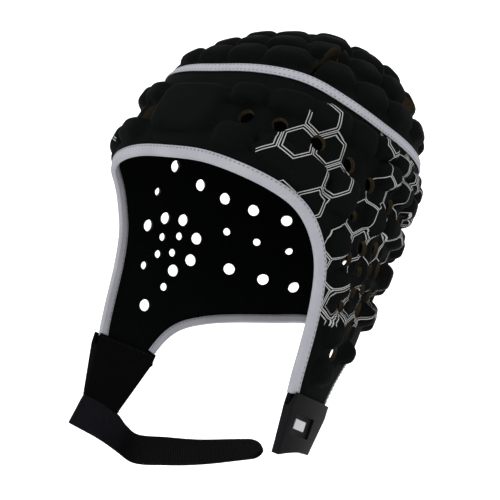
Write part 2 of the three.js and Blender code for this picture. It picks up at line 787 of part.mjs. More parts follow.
const guard = new THREE.Group();
guard.add(
  toMesh(crownPanel(), 'crown_panel', MATERIALS.cloth),
  toMesh(wrapPanel(), 'wrap_panel', MATERIALS.cloth),
  toMesh(crownBand(), 'crown_band', MATERIALS.tape),
  toMesh(edgeBinding(faceColumns), 'face_binding', MATERIALS.tape),
  toMesh(edgeBinding(napeColumns), 'nape_binding', MATERIALS.tape),
  toMesh(sleeveSolid(cuffEnd, CUFF), 'strap_cuff', MATERIALS.strap),
  toMesh(chinStrap(cuffEnd), 'chin_strap', MATERIALS.strap),
  toMesh(sleeveSolid(tabEnd, TAB).subtract(recess), 'catch_tab', MATERIALS.tab),
  toMesh(badge, 'tab_badge', MATERIALS.badge),
);
guard.position.set(0, -SEAT_BACK, -SEAT_HEIGHT);

export default guard;
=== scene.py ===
"""Looks of a padded goalkeeper head guard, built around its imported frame.

Shapes are worked out in millimetres above the ear line, with the wearer facing -Y and their left at +X,
and are moved to the frame's metres and origin, the inside of the crown, when a mesh is placed.
"""

from __future__ import annotations

import logging
import math
from dataclasses import dataclass, field
from enum import Enum
from typing import Any, Callable, NamedTuple, Sequence

import bmesh
import bpy
import numpy as np
from bpy.types import Material, Mesh, Node, NodeSocket, NodeTree, Object
from mathutils import Matrix, Vector

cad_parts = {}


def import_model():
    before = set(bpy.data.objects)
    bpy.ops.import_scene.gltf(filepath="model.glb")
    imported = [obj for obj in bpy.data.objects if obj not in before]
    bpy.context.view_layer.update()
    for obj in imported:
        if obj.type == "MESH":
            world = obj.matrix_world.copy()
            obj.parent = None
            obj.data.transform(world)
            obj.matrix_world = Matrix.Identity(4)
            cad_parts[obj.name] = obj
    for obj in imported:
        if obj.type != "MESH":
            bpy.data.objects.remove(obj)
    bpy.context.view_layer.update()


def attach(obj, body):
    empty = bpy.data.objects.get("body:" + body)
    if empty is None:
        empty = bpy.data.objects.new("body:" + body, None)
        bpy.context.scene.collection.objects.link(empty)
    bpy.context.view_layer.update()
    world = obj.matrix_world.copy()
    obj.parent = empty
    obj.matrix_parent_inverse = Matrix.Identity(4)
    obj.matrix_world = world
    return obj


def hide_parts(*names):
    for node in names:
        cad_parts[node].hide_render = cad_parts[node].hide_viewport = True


LOG = logging.getLogger("head_guard")
MM = 0.001
BODY = "root"
SEED = 7

# The frame's origin above the ear line, where the top of a head meets the crown
SEAT_HEIGHT = 136.0
SEAT = np.array([0.0, 10.0, SEAT_HEIGHT])

# Wall and tapes, in millimetres, as in the solids, but with the taped edge pressed 0.6 mm thinner
WALL = 4.0
EDGE_WALL = 1.4
BORDER = 9.0
PAD_RISE = 6.0
CLEARANCE = 0.3
FOLD_CLEARANCE = 0.45
TAPE = 0.8

Points = np.ndarray


class PadRow(NamedTuple):
    """A pad of the wrap by its azimuth, height, half sizes and lean."""

    azimuth: float
    height: float
    half_width: float
    half_tall: float
    lean: float


class PadRun(NamedTuple):
    """A row of like pads round the back, by height above the vent line."""

    above: float
    first: float
    last: float
    step: float
    half_width: float
    half_tall: float


class PadRing(NamedTuple):
    """A ring of like pads on the crown: lift is 0 at the band and 1 at the top."""

    lift: float
    count: int
    turn: float
    half_width: float
    half_tall: float


class Dart(NamedTuple):
    """An open dart of the crown."""

    azimuth: float
    height: float
    lean: float
    length: float
    width: float


class Vent(NamedTuple):
    """A hole through the wall."""

    azimuth: float
    height: float
    bore: float


LARGE = 8.0
SMALL = 5.2

# Azimuth and height of the tape over the crown seam
BAND_LINE = ((0, 101), (25, 101), (45, 98.5), (64, 91), (80, 85.5), (98, 80.5), (135, 73), (180, 69))

# Azimuth and height of the lower edge, and the azimuth on the band that the same column of cloth starts from
FACE_EDGE = (
    (0, 47.5, 0),
    (21.5, 46, 20),
    (46, 36.5, 42),
    (59.5, 26, 58),
    (73, 4, 75),
    (80.5, -20, 87),
    (85, -46, 95),
    (90, -75, 100),
)
NAPE_EDGE = ((116.5, -84.5, 109), (125, -61.5, 118), (137, -52, 135), (163.5, -43, 160), (180, -38.5, 180))

# How far each tape starts from the flap's corner, measured along its table, so that a sleeve covers its end
FACE_TAPE_START = 6.5
NAPE_TAPE_START = 7.5

# Spaces along each edge tape
FACE_TAPE_COLUMNS = 250
NAPE_TAPE_COLUMNS = 130

# Azimuth and height of the line of large vents
VENT_LINE = ((28, 73), (55, 65.5), (85.5, 50.5), (120.5, 36), (152, 28.5), (180, 26.5))

# Rows of vents: height above that line, bore, azimuths
VENT_ROWS = (
    (0, LARGE, (28, 40.5, 55, 70.5, 85.5, 105, 120.5, 136, 152, 170)),
    (-20.5, SMALL, (128.5, 143.5, 158.5, 175)),
    (-44, LARGE, (137, 153, 167, 180)),
)
EAR_VENTS = (
    Vent(82.5, 31, SMALL),
    Vent(87.5, 7.5, LARGE),
    Vent(95, 14.5, LARGE),
    Vent(105, 15.5, LARGE),
    Vent(98.5, 1.5, SMALL),
    Vent(107, 4, SMALL),
    Vent(116, 4.5, LARGE),
    Vent(100.5, -10.5, SMALL),
    Vent(107.5, -8, SMALL),
    Vent(118, -11, LARGE),
    Vent(96, -19.5, SMALL),
    Vent(112, -20, LARGE),
    Vent(111, -32, SMALL),
    Vent(105.5, -46, LARGE),
)

FOREHEAD = PadRow(0, 75, 25.5, 16, 0)
FOREHEAD_SQUARENESS = 4.6
SIDE_PADS = (
    PadRow(26.5, 84.5, 10.5, 6.8, 0),
    PadRow(27.5, 60, 12, 7.2, -6),
    PadRow(42.5, 83, 12, 7.2, -4),
    PadRow(43, 54.5, 11, 7.8, -22),
    PadRow(57.5, 79, 11.8, 7.8, -12),
    PadRow(55, 47, 10.5, 9.5, -30),
    PadRow(72.5, 74, 11, 7.8, -14),
    PadRow(71, 41, 10, 10.8, -14),
    PadRow(93.5, 32.5, 9, 8.4, -6),
    PadRow(110.5, 29, 9.5, 6.8, -6),
    PadRow(78.5, 14.5, 6.5, 8, 28),
    PadRow(87.5, -8, 6, 8, 14),
    PadRow(95.5, -34, 6.6, 8.5, 4),
    PadRow(100, -56.5, 7.6, 7, -6),
    PadRow(115, -45, 5.6, 5.6, -30),
)
BACK_RUNS = (
    PadRun(23.5, 88.5, 180, 15.25, 10.8, 6.2),
    PadRun(11.5, 94.5, 180, 15.5, 10.8, 7),
    PadRun(-11, 119.5, 180, 15, 11, 6.8),
    PadRun(-32.5, 127.5, 180, 15, 10.6, 8),
    PadRun(-57, 122, 150, 15, 9.2, 7.4),
)
CROWN_RINGS = (
    PadRing(0.16, 16, 0.5, 13, 7.2),
    PadRing(0.36, 14, 0, 12, 7.4),
    PadRing(0.565, 10, 0.5, 12, 7.4),
    PadRing(0.765, 6, 0, 11, 7.2),
    PadRing(1, 1, 0, 12, 15),
)
DARTS = (Dart(52, 113.5, 52, 52, 6.5), Dart(120.5, 105, -52, 52, 7))

# Where the print lies on each side: first and last azimuth, then azimuth and height of its limits
PRINT_SPAN = (36, 150)
PRINT_LOWER = ((34, 56), (46, 40), (60, 6), (75, -30))
PRINT_UPPER = ((34, 66), (60, 94), (110, 80), (150, 40))

# Both edges of the chin strap at its stations after the root
STRAP_TOP = (
    (-65.5, -36, -125.5),
    (-54, -37, -127.5),
    (-23, -39, -121.5),
    (7, -41, -115),
    (35, -41.5, -107.5),
    (55.5, -42, -102),
)
STRAP_LOW = (
    (-54, -50, -139),
    (-41, -49.5, -141.5),
    (-8, -51, -134),
    (23.5, -54.5, -124.5),
    (52, -55.5, -114),
    (72, -57.5, -106.5),
)
STRAP_ROOT_DROP = (7.5, -14, -16.5)


class Side(Enum):
    """The wearer's side that a piece is on, as the sign of X."""

    LEFT = 1
    RIGHT = -1


# Number helpers


def unit(vectors: Points) -> Points:
    """Vectors scaled to length one."""
    return vectors / np.maximum(np.linalg.norm(vectors, axis=-1, keepdims=True), 1e-12)


def smooth_step(x: np.ndarray) -> np.ndarray:
    """Smooth rise from 0 to 1 as x goes from 0 to 1."""
    t = np.clip(x, 0, 1)
    return t * t * (3 - 2 * t)


def squared_circle(angle: np.ndarray, squareness: float) -> tuple[np.ndarray, np.ndarray]:
    """Places on a circle that is squared towards the box around it.

    Args:
        angle: Angles in radians.
        squareness: 2 for a circle, and more for a squarer one.

    Returns:
        Places across and up, from -1 to 1.
    """
    power = 2 / squareness
    across = np.cos(angle)
    up = np.sin(angle)
    return np.sign(across) * np.abs(across) ** power, np.sign(up) * np.abs(up) ** power


def smooth_column(table: Sequence[Sequence[float]], column: int, place: np.ndarray) -> np.ndarray:
    """Smooth values of one column of a table, level at both ends.

    Args:
        table: Rows whose first value is the key, in rising order.
        column: Which value of the rows to read.
        place: Keys to read at.

    Returns:
        The value at each key.
    """
    key = np.array([row[0] for row in table], float)
    value = np.array([row[column] for row in table], float)
    slope = np.zeros_like(value)
    slope[1:-1] = (value[2:] - value[:-2]) / (key[2:] - key[:-2])
    at = np.clip(place, key[0], key[-1])
    row = np.clip(np.searchsorted(key, at) - 1, 0, len(key) - 2)
    span = key[row + 1] - key[row]
    t = (at - key[row]) / span
    rise = (value[row + 1] - value[row]) * t * t * (3 - 2 * t)
    leave = t * (1 - t) ** 2 * span * slope[row]
    arrive = t * t * (t - 1) * span * slope[row + 1]
    return value[row] + rise + leave + arrive


def curve_at(knots: Points, t: np.ndarray) -> Points:
    """Points of a centripetal Catmull-Rom curve, with the same share of t for each stretch between knots.

    Args:
        knots: Points that the curve goes through.
        t: Places from 0 to 1.

    Returns:
        One point for each place.
    """
    ends = [2 * knots[0] - knots[1], *knots, 2 * knots[-1] - knots[-2]]
    guide = np.array(ends, float)
    spread = np.clip(t, 0, 1) * (len(knots) - 1)
    row = np.minimum(spread.astype(int), len(knots) - 2)
    w = (spread - row)[:, None]
    p0, p1, p2, p3 = (guide[row + i] for i in range(4))
    pairs = ((p0, p1), (p1, p2), (p2, p3))
    d0, d1, d2 = (np.linalg.norm(b - a, axis=1, keepdims=True) ** 0.5 for a, b in pairs)
    leave = ((p1 - p0) / d0 - (p2 - p0) / (d0 + d1) + (p2 - p1) / d1) * d1
    arrive = ((p2 - p1) / d1 - (p3 - p1) / (d1 + d2) + (p3 - p2) / d2) * d1
    cubic = 2 * p1 - 2 * p2 + leave + arrive
    square = -3 * p1 + 3 * p2 - 2 * leave - arrive
    return p1 + w * (leave + w * (square + w * cubic))


def run_along(path: Points) -> np.ndarray:
    """Length of a path from its start to each of its points."""
    return np.concatenate([[0], np.cumsum(np.linalg.norm(np.diff(path, axis=0), axis=1))])


def read_along(vectors: Points, run: np.ndarray, place: float) -> Points:
    """The vector at a length along a path, from the vectors and lengths at its points."""
    return np.array([np.interp(place, run, vectors[:, axis]) for axis in range(3)])


def curve_spaced(knots: Points, count: int, start: float = 0.0, samples: int = 3000) -> Points:
    """The same curve at evenly spaced points.

    Args:
        knots: Points that the curve goes through.
        count: Number of spaces.
        start: How much is left out at each end.
        samples: Points that the curve's length is measured with.

    Returns:
        count + 1 points.
    """
    t = np.linspace(0, 1, samples)
    run = run_along(curve_at(knots, t))
    return curve_at(knots, np.interp(np.linspace(start, run[-1] - start, count + 1), run, t))


def ripple(points: Points, wavelength: float, waves: int = 9) -> np.ndarray:
    """Gentle seeded unevenness from -1 to 1.

    Args:
        points: Where, in millimetres.
        wavelength: Its size, in millimetres.
        waves: How many waves it is made of.

    Returns:
        One value for each point.
    """
    random = np.random.default_rng(SEED)
    total = np.zeros(points.shape[:-1])
    shortest, longest = 0.7, 1.4
    whole_turn = 6.3
    for _ in range(waves):
        way = unit(random.normal(size=3))
        phase = points @ way * (2 * math.pi / wavelength) * random.uniform(shortest, longest)
        total += np.sin(phase + random.uniform(0, whole_turn))
    return total / waves


def gap_to(points: Points, path: Points) -> np.ndarray:
    """Distance of each point from the nearest point of a path."""
    gaps = [np.linalg.norm(path - point, axis=1).min() for point in points]
    return np.array(gaps)


def wall_at(inward: np.ndarray | float) -> np.ndarray:
    """Thickness of the wall at a distance in from the lower edge, where it thins towards the tape."""
    return EDGE_WALL + (WALL - EDGE_WALL) * np.clip(np.asarray(inward) / BORDER, 0, 1)


# Head form


@dataclass(frozen=True)
class HeadForm:
    """The guard's inner face as a smooth function of azimuth from the front and height above the ear line."""

    girth: float = 40.0
    front_power: float = 2.9
    back_power: float = 1.95
    dome_power: float = 2.25
    # Height, and the middle, front, back and half width of the plan there
    sections: tuple[tuple[float, ...], ...] = (
        (-85, -58, 88, 100, 81),
        (-35, -44.5, 86.5, 96.5, 83),
        (10, -28, 84.5, 97, 83),
        (40, -17, 84, 98, 81),
        (75, -6.5, 83.5, 100.5, 81),
        (105, -1.5, 83.5, 100.5, 81),
        (136, 10, 83.5, 100.5, 81),
    )

    def section(self, height: np.ndarray) -> tuple[np.ndarray, ...]:
        """Middle, front, back and half width of the plan at each height."""
        return tuple(smooth_column(self.sections, column, height) for column in range(1, 5))

    def point(self, azimuth: np.ndarray, height: np.ndarray) -> Points:
        """Points of the inner face.

        Args:
            azimuth: Turn from the front, in degrees.
            height: Height above the ear line.

        Returns:
            One point for each pair.
        """
        angle, height = np.broadcast_arrays(np.radians(azimuth), np.asarray(height, float))
        centre, front, back, half = self.section(height)
        rise = np.clip((height - self.girth) / (SEAT_HEIGHT - self.girth), 0, 1)
        shrink = (1 - rise**self.dome_power) ** (1 / self.dome_power)
        depth = np.where(np.cos(angle) > 0, front, back)
        power = np.where(np.cos(angle) > 0, self.front_power, self.back_power)
        plan = np.abs(np.sin(angle) / half) ** power + np.abs(np.cos(angle) / depth) ** power
        radius = shrink * plan ** (-1 / power)
        return np.stack([radius * np.sin(angle), centre - radius * np.cos(angle), height], axis=-1)

    def azimuth(self, points: Points) -> np.ndarray:
        """Azimuth of points in degrees, from -180 to 180."""
        centre = self.section(points[..., 2])[0]
        return np.degrees(np.arctan2(points[..., 0], centre - points[..., 1]))

    def level(self, points: Points) -> np.ndarray:
        """Tells how far out points are.

        Args:
            points: Points near the head.

        Returns:
            1 on the inner face and less inside the head.
        """
        centre, front, back, half = self.section(points[..., 2])
        ahead = points[..., 1] - centre
        depth = np.where(ahead < 0, front, back)
        power = np.where(ahead < 0, self.front_power, self.back_power)
        plan = np.abs(points[..., 0] / half) ** power + np.abs(ahead / depth) ** power
        rise = np.maximum(0, (points[..., 2] - self.girth) / (SEAT_HEIGHT - self.girth))
        return plan ** (self.dome_power / power) + rise**self.dome_power

    def slope(self, points: Points) -> Points:
        """How fast the level grows along each axis.

        Args:
            points: Points near the head.

        Returns:
            One vector for each point.
        """
        step = 0.01
        columns = []
        for axis in range(3):
            shift = np.zeros(3)
            shift[axis] = step
            columns.append((self.level(points + shift) - self.level(points - shift)) / (2 * step))
        return np.stack(columns, axis=-1)

    def normal(self, points: Points) -> Points:
        """Way out of the head at points on or near the face."""
        return unit(self.slope(points))

    def drape(self, points: Points, offset: np.ndarray | float = 0.0) -> Points:
        """Points moved onto the face and then out.

        Args:
            points: Points near the face.
            offset: Distance out of the face.

        Returns:
            The moved points.
        """
        draped = np.array(points, float)
        passes = 4
        for _ in range(passes):
            slope = self.slope(draped)
            short = (1 - self.level(draped)) / np.sum(slope * slope, axis=-1)
            draped = draped + slope * short[..., None]
        return draped + self.normal(draped) * np.asarray(offset, float)[..., None]

    def axes(self, origin: Points) -> tuple[Points, Points, Points]:
        """Ways east, north and out at one point of the face.

        Args:
            origin: The point.

        Returns:
            Three ways of length one. At the top, where up is no guide, north is the back.
        """
        out = self.normal(origin)
        level_top = 0.999
        up = np.array([0.0, 1.0, 0.0]) if abs(out[2]) > level_top else np.array([0.0, 0.0, 1.0])
        east = unit(np.cross(up, out))
        return east, np.cross(out, east), out

    def leaned(self, points: Points, origin: Points, lean: float) -> tuple[np.ndarray, np.ndarray]:
        """Places of points along and across a shape that lies leaned on the face.

        Args:
            points: Points of the guard.
            origin: Middle of the shape.
            lean: Its turn from east towards north, in degrees.

        Returns:
            Distances along the shape, and across it.
        """
        east, north, _ = self.axes(origin)
        turn = math.radians(lean)
        away = points - origin
        along = away @ (east * math.cos(turn) + north * math.sin(turn))
        across = away @ (north * math.cos(turn) - east * math.sin(turn))
        return along, across

    def band(self, azimuth: np.ndarray) -> Points:
        """Points of the crown seam."""
        turn = np.abs(azimuth - 360 * np.round(azimuth / 360))
        return self.point(azimuth, smooth_column(BAND_LINE, 1, turn))

    def crown(self, azimuth: np.ndarray, lift: np.ndarray) -> Points:
        """Points of the crown.

        Args:
            azimuth: Turn from the front, in degrees.
            lift: From 0 at its edge to 1 at its top.

        Returns:
            One point for each pair.
        """
        edge = self.band(azimuth)[..., 2] + CLEARANCE / 2
        start = np.arcsin((edge - self.girth) / (SEAT_HEIGHT - self.girth))
        angle = start + (math.pi / 2 - start) * lift
        return self.point(azimuth, self.girth + (SEAT_HEIGHT - self.girth) * np.sin(angle))


FORM = HeadForm()


# Pads


@dataclass(frozen=True)
class Pad:
    """One moulded foam pad on the wall."""

    origin: Points
    half_width: float
    half_tall: float
    lean: float = 0.0
    squareness: float = 3.6
    rise: float = PAD_RISE


@dataclass(frozen=True)
class PadRelief:
    """Height of a set of pads over the wall."""

    pads: tuple[Pad, ...]
    shoulder: float = 5.2
    shoulder_power: float = 2.3
    shoulder_ease: float = 0.85
    grow: float = 0.9
    crowning: float = 0.12
    search: float = 1.3

    def height(self, points: Points) -> np.ndarray:
        """Height of the pads at points of the inner face.

        Args:
            points: Points of the inner face.

        Returns:
            The height over the wall at each point.
        """
        best = np.zeros(points.shape[:-1])
        for pad in self.pads:
            reach = self.search * math.hypot(pad.half_width, pad.half_tall) + self.grow
            near = np.linalg.norm(points - pad.origin, axis=-1) < reach
            if not near.any():
                continue
            along, across = FORM.leaned(points[near], pad.origin, pad.lean)
            width = pad.half_width + self.grow
            tall = pad.half_tall + self.grow
            power = pad.squareness
            ring = (np.abs(along / width) ** power + np.abs(across / tall) ** power) ** (1 / power)
            inside = np.clip((1 - ring) * min(width, tall) / self.shoulder, 0, 1)
            profile = (1 - (1 - inside) ** self.shoulder_power) ** self.shoulder_ease
            crown = np.clip(1 - ring**2, 0, 1)
            height = pad.rise * (profile * (1 - self.crowning) + self.crowning * crown)
            best[near] = np.maximum(best[near], height)
        return best


def uneven(pad: Pad, random: np.random.Generator) -> Pad:
    """A pad with a little difference of height and lean, as moulded foam has.

    Args:
        pad: The even pad.
        random: Where the differences come from.

    Returns:
        The new pad.
    """
    tilt = 1.5
    lower, higher = -0.5, 0.3
    lean = pad.lean + random.uniform(-tilt, tilt)
    rise = pad.rise + random.uniform(lower, higher)
    return Pad(pad.origin, pad.half_width, pad.half_tall, lean, pad.squareness, rise)


def vent_line(azimuth: float) -> float:
    """Height of the line of large vents."""
    return float(smooth_column(VENT_LINE, 1, np.array(azimuth)))


def wrap_pads() -> tuple[Pad, ...]:
    """All pads of the wrap, on both sides.

    Returns:
        The forehead's pad, then the rows of pads in pairs.
    """
    rows = [*SIDE_PADS]
    for run in BACK_RUNS:
        azimuth = run.first
        while azimuth < run.last + run.step / 4:
            place = 180.0 if 180 - azimuth < run.step / 4 else azimuth
            rows.append(PadRow(place, vent_line(place) + run.above, run.half_width, run.half_tall, 0))
            azimuth += run.step
    random = np.random.default_rng(SEED)
    front = FORM.point(FOREHEAD.azimuth, FOREHEAD.height)
    pads = [Pad(front, FOREHEAD.half_width, FOREHEAD.half_tall, FOREHEAD.lean, FOREHEAD_SQUARENESS)]
    for row in rows:
        signs = (1,) if row.azimuth == 180 else (1, -1)
        for sign in signs:
            origin = FORM.point(sign * row.azimuth, row.height)
            pads.append(uneven(Pad(origin, row.half_width, row.half_tall, sign * row.lean), random))
    return tuple(pads)


def crown_pads() -> tuple[Pad, ...]:
    """All pads of the crown.

    Returns:
        The pads, ring by ring.
    """
    random = np.random.default_rng(SEED + 1)
    pads = []
    for ring in CROWN_RINGS:
        for i in range(ring.count):
            azimuth = (i + ring.turn) / ring.count * 360
            origin = FORM.crown(np.array(azimuth), np.array(ring.lift))
            pads.append(uneven(Pad(origin, ring.half_width, ring.half_tall), random))
    return tuple(pads)


def all_vents() -> tuple[Vent, ...]:
    """All vents of the wrap, on both sides.

    Returns:
        The vents of the wearer's left, then the others.
    """
    rows = [*EAR_VENTS]
    for above, bore, azimuths in VENT_ROWS:
        rows.extend(Vent(azimuth, vent_line(azimuth) + above, bore) for azimuth in azimuths)
    return tuple(rows + [Vent(-row.azimuth, row.height, row.bore) for row in rows if row.azimuth != 180])


# Mesh helpers


def to_frame(points: Points) -> Points:
    """Points in the frame's metres."""
    return (points - SEAT) * MM


def frame_matrix(origin: Points, axes: Sequence[Points], turn: float = 0.0) -> Matrix:
    """Matrix that puts a shape made in millimetres at a point of the guard.

    Args:
        origin: Where its middle goes.
        axes: Its X, Y and Z ways.
        turn: Turn about its Z, in degrees.

    Returns:
        The matrix, into the frame's metres.
    """
    place = Matrix.Translation(Vector(to_frame(origin)))
    ways = Matrix(np.stack(axes, axis=1).tolist()).to_4x4()
    return place @ ways @ Matrix.Rotation(math.radians(turn), 4, "Z") @ Matrix.Scale(MM, 4)


def move_verts(verts: Sequence[bmesh.types.BMVert], points: Points) -> None:
    """Moves the points of a shape to points of the guard."""
    for vert, co in zip(verts, to_frame(points)):
        vert.co = co


def open_edges(shape: bmesh.types.BMesh) -> list[bmesh.types.BMEdge]:
    """Edges of a shape that only one face has."""
    return [edge for edge in shape.edges if edge.is_boundary]


Placer = Callable[[np.ndarray, np.ndarray], Points]

# Points nearer than this are welded, in metres, and sharper edges than this are rounded, in degrees
WELD = 1e-6
SHARP_ANGLE = 40.0


def mapped_grid(name: str, columns: int, rows: int, place: Placer, cap: bool = False) -> Object:
    """A grid whose points are mapped onto the guard, with its seams welded.

    Args:
        name: Name of the new object.
        columns: Spaces along u.
        rows: Spaces along v.
        place: Gives points in millimetres for u and v from 0 to 1.
        cap: Whether open ends are closed.

    Returns:
        The new object, with its UV map in u and v.
    """
    shape = bmesh.new()
    shape.loops.layers.uv.new("UVMap")
    middle = Matrix.Translation((0.5, 0.5, 0))
    bmesh.ops.create_grid(shape, x_segments=columns, y_segments=rows, size=0.5, matrix=middle, calc_uvs=True)
    flat = np.array([vert.co[:2] for vert in shape.verts])
    move_verts(shape.verts, place(flat[:, 0], flat[:, 1]))
    bmesh.ops.remove_doubles(shape, verts=shape.verts, dist=WELD)
    if cap:
        bmesh.ops.holes_fill(shape, edges=open_edges(shape), sides=0)
    bmesh.ops.recalc_face_normals(shape, faces=shape.faces)
    return to_object(name, shape)


def to_object(name: str, shape: bmesh.types.BMesh) -> Object:
    """A linked object of a shape, smooth-shaded.

    Args:
        name: Name of the object and its mesh.
        shape: The shape, which is freed.

    Returns:
        The object.
    """
    mesh = bpy.data.meshes.new(name)
    shape.to_mesh(mesh)
    shape.free()
    mesh.shade_smooth()
    piece = bpy.data.objects.new(name, mesh)
    bpy.context.scene.collection.objects.link(piece)
    return piece


def bake(piece: Object) -> None:
    """Makes the modifiers of a piece part of its mesh.

    Args:
        piece: The piece, which gets a new mesh.
    """
    depsgraph = bpy.context.evaluated_depsgraph_get()
    old = piece.data
    name = old.name
    piece.data = bpy.data.meshes.new_from_object(piece.evaluated_get(depsgraph))
    piece.modifiers.clear()
    bpy.data.meshes.remove(old)
    piece.data.name = name


def cut(piece: Object, cutters: bmesh.types.BMesh) -> None:
    """Takes cutters out of a piece.

    Args:
        piece: What is cut.
        cutters: Closed shapes, which are freed.
    """
    tool = to_object(f"{piece.name}_cutters", cutters)
    modifier = piece.modifiers.new("cut", "BOOLEAN")
    modifier.operation = "DIFFERENCE"
    modifier.solver = "EXACT"
    modifier.object = tool
    bake(piece)
    mesh = tool.data
    bpy.data.objects.remove(tool)
    bpy.data.meshes.remove(mesh)


def rounded(piece: Object, width: float, segments: int = 2) -> Object:
    """A piece with its sharp edges rounded.

    Args:
        piece: The piece.
        width: Width of the rounding, in millimetres.
        segments: Steps of the rounding.

    Returns:
        The same piece.
    """
    modifier = piece.modifiers.new("rounded", "BEVEL")
    modifier.width = width * MM
    modifier.segments = segments
    modifier.limit_method = "ANGLE"
    modifier.angle_limit = math.radians(SHARP_ANGLE)
    return piece


def read_vectors(items: bpy.types.bpy_prop_collection, name: str) -> Points:
    """One vector from each point or face of a mesh.

    Args:
        items: The points or faces.
        name: Which of their vectors.

    Returns:
        The vectors, in rows.
    """
    flat = np.empty(len(items) * 3)
    items.foreach_get(name, flat)
    return flat.reshape(-1, 3)


def mesh_points(mesh: Mesh) -> Points:
    """A mesh's points, in millimetres above the ear line."""
    return read_vectors(mesh.vertices, "co") / MM + SEAT


def face_facts(mesh: Mesh) -> tuple[Points, Points]:
    """Middles, in millimetres above the ear line, and normals of a mesh's faces."""
    middle = read_vectors(mesh.polygons, "center") / MM + SEAT
    return middle, read_vectors(mesh.polygons, "normal")


def add_attribute(mesh: Mesh, name: str, values: Points) -> None:
    """Keeps one vector for each point of a mesh."""
    attribute = mesh.attributes.new(name, "FLOAT_VECTOR", "POINT")
    attribute.data.foreach_set("vector", np.ascontiguousarray(values, np.float32).ravel())


# Finishes


def linear(code: str) -> tuple[float, float, float, float]:
    """Linear colour of an sRGB hex code.

    Args:
        code: The code, with its sign.

    Returns:
        Red, green, blue and alpha.
    """
    parts = [int(code[i : i + 2], 16) / 255 for i in (1, 3, 5)]
    red, green, blue = (c / 12.92 if c <= 0.04045 else ((c + 0.055) / 1.055) ** 2.4 for c in parts)
    return red, green, blue, 1.0


def add_node(
    tree: NodeTree, kind: str, inputs: dict[Any, Any] | None = None, **settings: Any
) -> Node:
    """Adds a node with its settings, values and links.

    Args:
        tree: Where the node goes.
        kind: Its Blender type.
        inputs: Socket name or number, to a value or to the output socket that feeds it.
        **settings: Properties of the node.

    Returns:
        The node.
    """
    node = tree.nodes.new(kind)
    for key, value in settings.items():
        setattr(node, key, value)
    for key, value in (inputs or {}).items():
        if isinstance(value, NodeSocket):
            tree.links.new(value, node.inputs[key])
        else:
            node.inputs[key].default_value = value
    return node


def repeats(size_mm: float) -> float:
    """Texture scale of a pattern of a real size in millimetres, in repeats for each metre."""
    return 1 / (size_mm * MM)


class Pattern(NamedTuple):
    """What varies over a surface: the share of its second tone, and the height of its bump."""

    share: NodeSocket
    height: NodeSocket


@dataclass(frozen=True)
class Finish:
    """A material of two tones with one shader, which the kinds of finish below give a pattern."""

    name: str
    colour: str
    roughness: float
    specular: float = 0.4
    sheen: float = 0.0
    sheen_roughness: float = 0.45
    second: str = "#000000"
    bump: float = 0.3
    bump_mm: float = 0.12

    def make(self) -> Material:
        """The material, made once.

        Returns:
            The new material, or the one that an earlier call made.
        """
        found = bpy.data.materials.get(self.name)
        if found:
            return found
        material = bpy.data.materials.new(self.name)
        material.use_nodes = True
        tree = material.node_tree
        shader = tree.nodes["Principled BSDF"]
        shader.inputs["Base Color"].default_value = linear(self.colour)
        shader.inputs["Roughness"].default_value = self.roughness
        shader.inputs["Specular IOR Level"].default_value = self.specular
        shader.inputs["Sheen Weight"].default_value = self.sheen
        shader.inputs["Sheen Roughness"].default_value = self.sheen_roughness
        self.dress(tree, shader)
        return material

    def dress(self, tree: NodeTree, shader: Node) -> None:
        """Mixes the two tones and adds the bump, both by the finish's own pattern.

        Args:
            tree: The material's nodes.
            shader: Its shader.
        """
        pattern = self.pattern(tree)
        tones = add_node(
            tree,
            "ShaderNodeMix",
            {"Factor": pattern.share, "A": linear(self.colour), "B": linear(self.second)},
            data_type="RGBA",
        )
        tree.links.new(self.overlay(tree, tones.outputs["Result"]), shader.inputs["Base Color"])
        relief = {"Strength": self.bump, "Distance": self.bump_mm * MM, "Height": pattern.height}
        bump = add_node(tree, "ShaderNodeBump", relief)
        tree.links.new(bump.outputs["Normal"], shader.inputs["Normal"])

    def pattern(self, tree: NodeTree) -> Pattern:
        """What varies over the surface."""
        raise NotImplementedError(self.name)

    def overlay(self, tree: NodeTree, tones: NodeSocket) -> NodeSocket:
        """The tones with anything that lies over them."""
        return tones


